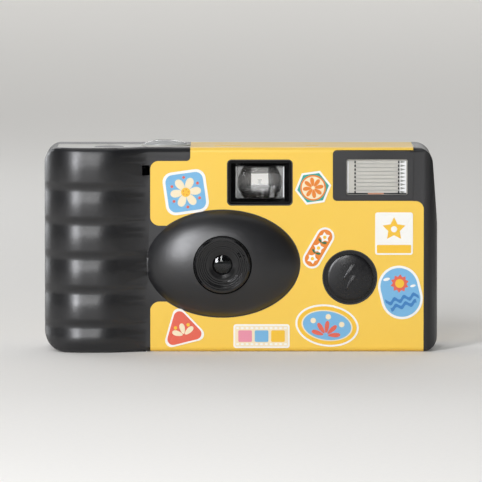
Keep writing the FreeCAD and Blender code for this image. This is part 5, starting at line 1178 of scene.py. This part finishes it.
@dataclass
class Drive:
    """Winding wheel, sprocket, counter, release and shutter pieces."""

    dial_mm: Spot = (-14.4, -0.1, 56.1)
    dial_edge_mm: float = 7.1
    stroke_mm: float = 0.34
    stroke_rise_mm: float = 0.03
    black: Finish = MouldedPlastic("black_acetal", "18181A", "202023", roughness=0.36)
    white: Finish = MouldedPlastic("white_acetal", "E8E7E1", "DEDDD6", roughness=0.4)
    matt: Finish = MouldedPlastic("matt_black_acetal", "060607", "0A0A0B", roughness=0.7, specular=0.08)
    steel: Finish = RolledMetal("spring_steel", "BDBFC2", "9B9DA1", roughness=0.28)
    dark_steel: Finish = RolledMetal("blackened_steel", "101012", "0A0A0C", roughness=0.6)
    ink: Finish = PrintedFilm("black_dial_ink", "1C1C1E", "232326", roughness=0.5, coat=0.0)

    def build(self) -> list[Piece]:
        """Refines what shows and dresses what doesn't.

        Returns:
            The finished pieces.
        """
        black = self.black.make()
        pieces = [refine("advance_wheel", black, sharp_deg=35.0),
                  refine("shutter_button", black, sharp_deg=40.0),
                  refine("counter_dial", self.white.make(), sharp_deg=40.0)]
        return (pieces + self.strokes()
                + dress(black, "sprocket", "metering_lever", "main_frame", "striker_lever")
                + dress(self.steel.make(), "release_spring", "blade_spring", "striker_spring")
                + dress(self.dark_steel.make(), "shutter_blade", "shutter_plate")
                + dress(self.matt.make(), "lens_holder"))

    def strokes(self) -> list[Piece]:
        """Printed strokes round the dial, one for each exposure and a longer one at every third.

        Returns:
            The two rings of strokes.
        """
        ink = self.ink.make()
        middle = metres(*self.dial_mm)
        rings = []
        for name, count, length in (("dial_strokes", 30, 1.1), ("dial_long_strokes", 10, 2.3)):
            bar = plate(rounded(length, self.stroke_mm, 0.1, 2), self.stroke_rise_mm, Matrix.Identity(4))
            ring = REPEAT.repeat(name, bar, ink, {
                "Count": count, "Start": middle + metres(self.dial_edge_mm - length / 2.0, 0.0, 0.0),
                "Centre": middle, "Axis": Vector((0.0, 0.0, 1.0)), "Turn": FULL_TURN / count})
            rings.append(settle(ring, ink, body_of("counter_dial")))
        return rings


@dataclass
class Film:
    """Cassette, film and both rolls, which the covers hide."""

    tin: Finish = RolledMetal("painted_cassette_tin", "3C3D42", "2E2F33", roughness=0.35)
    core: Finish = MouldedPlastic("black_styrene_core", "1B1B1D", "222225", roughness=0.4)
    film: Finish = ClearPlastic("brown_film_base", "6A4A3C", "7E5C4A", roughness=0.2, haze=0.7)

    def build(self) -> list[Piece]:
        """Dresses the film pieces."""
        return (dress(self.tin.make(), "film_cassette")
                + dress(self.film.make(), "film_strip", "film_roll")
                + dress(self.core.make(), "cassette_spool", "roll_spool"))


@dataclass
class Electronics:
    """Flash board, its parts, the cell and its contacts, which the covers hide."""

    board: Finish = MouldedPlastic("brown_phenolic_board", "8A6A3C", "7A5C33", roughness=0.5)
    sleeve: Finish = MouldedPlastic("shrink_sleeve", "20242E", "191C24", roughness=0.3)
    core: Finish = MouldedPlastic("dark_ferrite", "33302E", "262422", roughness=0.5)
    cell: Finish = MouldedPlastic("green_cell_sleeve", "3F7F5C", "35704F", roughness=0.3)
    brass: Finish = RolledMetal("nickelled_brass", "C8C4B4", "A8A494", roughness=0.25)
    lamp: Finish = ClearPlastic("neon_lamp_glass", "F7E2CF", roughness=0.05)

    def build(self) -> list[Piece]:
        """Dresses the electronics.

        Returns:
            The dressed nodes.
        """
        single = ((self.board, "flash_board"), (self.cell, "battery"), (self.sleeve, "capacitor"),
                  (self.lamp, "ready_lamp"))
        made = [piece for finish, node in single for piece in dress(finish.make(), node)]
        return (made + dress(self.core.make(), "transformer", "trigger_coil")
                + dress(self.brass.make(), "battery_contact_plus", "battery_contact_minus",
                              "charge_contact", "sync_contact"))


@dataclass(frozen=True)
class Lamp:
    """Rectangular area lamp that faces the object."""

    name: str
    place_m: Spot
    size_m: Point
    power_w: float
    colour: str = "FFFFFF"

    def build(self, aim: Vector) -> None:
        """Adds the lamp.

        Args:
            aim: the point that it faces.
        """
        data = bpy.data.lights.new(self.name, "AREA")
        data.shape = "RECTANGLE"
        data.size, data.size_y = self.size_m
        data.energy = self.power_w
        data.color = linear(self.colour)[:3]
        lamp = bpy.data.objects.new(self.name, data)
        lamp.location = self.place_m
        lamp.rotation_euler = (aim - Vector(self.place_m)).to_track_quat("-Z", "Y").to_euler()
        bpy.context.collection.objects.link(lamp)


@dataclass
class Studio:
    """Pale floor and low wall, soft lamps and the camera at the photograph's angle."""

    aim: Vector = field(default_factory=lambda: Vector((0.0, -0.0105, 0.03244)))
    distance_m: float = 1.9
    elevation_deg: float = 4.5
    view_width_mm: float = 140.5
    sensor_mm: float = 36.0
    floor_m: float = 3.6
    floor_rings: int = 8
    cove_m: float = 0.5
    cove_step_deg: int = 10
    paper: Paper = Paper("pale_paper", "E3E1DD", "DEDCD8")
    room_colour: str = "DDE0E4"
    room_strength: float = 0.08
    lamps: tuple[Lamp, ...] = (
        Lamp("key_strip", (-0.477, -0.91, 0.455), (0.2, 0.75), 9.2, "FAFBFF"),
        Lamp("front_strip", (-0.1, -1.02, 0.48), (0.14, 0.5), 2.3),
        Lamp("ceiling_softbox", (0.0, 1.1, 2.5), (3.2, 4.0), 29.0),
        Lamp("rim_strip", (-0.62, 0.62, 0.2), (0.5, 0.5), 2.6, "F8FBFF"),
        Lamp("back_strip", (0.0, 3.4, 1.5), (3.4, 0.8), 30.0))

    def build(self) -> None:
        """Adds floor, lamps, room light and camera."""
        self.floor()
        for lamp in self.lamps:
            lamp.build(self.aim)
        self.room()
        self.camera()

    def floor(self) -> None:
        """Round floor that curves up into a low wall on all sides."""
        corners = [Vector((self.floor_m * i / self.floor_rings, 0.0, 0.0))
                   for i in range(self.floor_rings + 1)]
        for angle in range(self.cove_step_deg, 91, self.cove_step_deg):
            out, down = polar(self.cove_m, math.radians(angle - 90))
            corners.append(Vector((self.floor_m + out, 0.0, self.cove_m + down)))
        corners.append(Vector((self.floor_m + self.cove_m, 0.0, 2.0 * self.cove_m)))
        form = spun(corners, Vector(), (0.0, 0.0, 1.0))
        # The faces look up and inwards, to the object.
        inward = [face for face in form.faces if face.normal.z < -0.001]
        bmesh.ops.reverse_faces(form, faces=inward)
        piece = mesh_piece("floor", form)
        shade_by_angle(piece.data, sharp_deg=60.0)
        piece.data.materials.append(self.paper.make())

    def room(self) -> None:
        """Soft, pale light from all round."""
        world = bpy.data.worlds.new("room")
        world.use_nodes = True
        back = world.node_tree.nodes["Background"]
        back.inputs["Color"].default_value = linear(self.room_colour)
        back.inputs["Strength"].default_value = self.room_strength
        bpy.context.scene.world = world

    def camera(self) -> None:
        """Sets the scene's camera, straight in front and a little above."""
        data = bpy.data.cameras.new("view")
        data.sensor_width = self.sensor_mm
        data.lens = self.distance_m / (self.view_width_mm * MM) * self.sensor_mm
        data.clip_start = 0.05
        camera = bpy.data.objects.new("view", data)
        ahead, up = polar(self.distance_m, math.radians(self.elevation_deg))
        away = Vector((0.0, -ahead, up))
        camera.location = self.aim + away
        camera.rotation_euler = (-away).to_track_quat("-Z", "Y").to_euler()
        bpy.context.collection.objects.link(camera)
        bpy.context.scene.camera = camera


def main() -> None:
    """Builds every sub-assembly, then the studio."""
    logging.basicConfig(level=logging.INFO)
    bpy.context.scene.view_settings.view_transform = "Standard"
    for part in (Casing(), StickerSet(), LensBarrel(), Viewfinder(), FlashUnit(), ChargeButton(), Drive(),
                 Film(), Electronics()):
        made = part.build()
        LOG.info("%s: %d pieces", type(part).__name__, len(made))
    Studio().build()


if __name__ == "__main__":
    main()
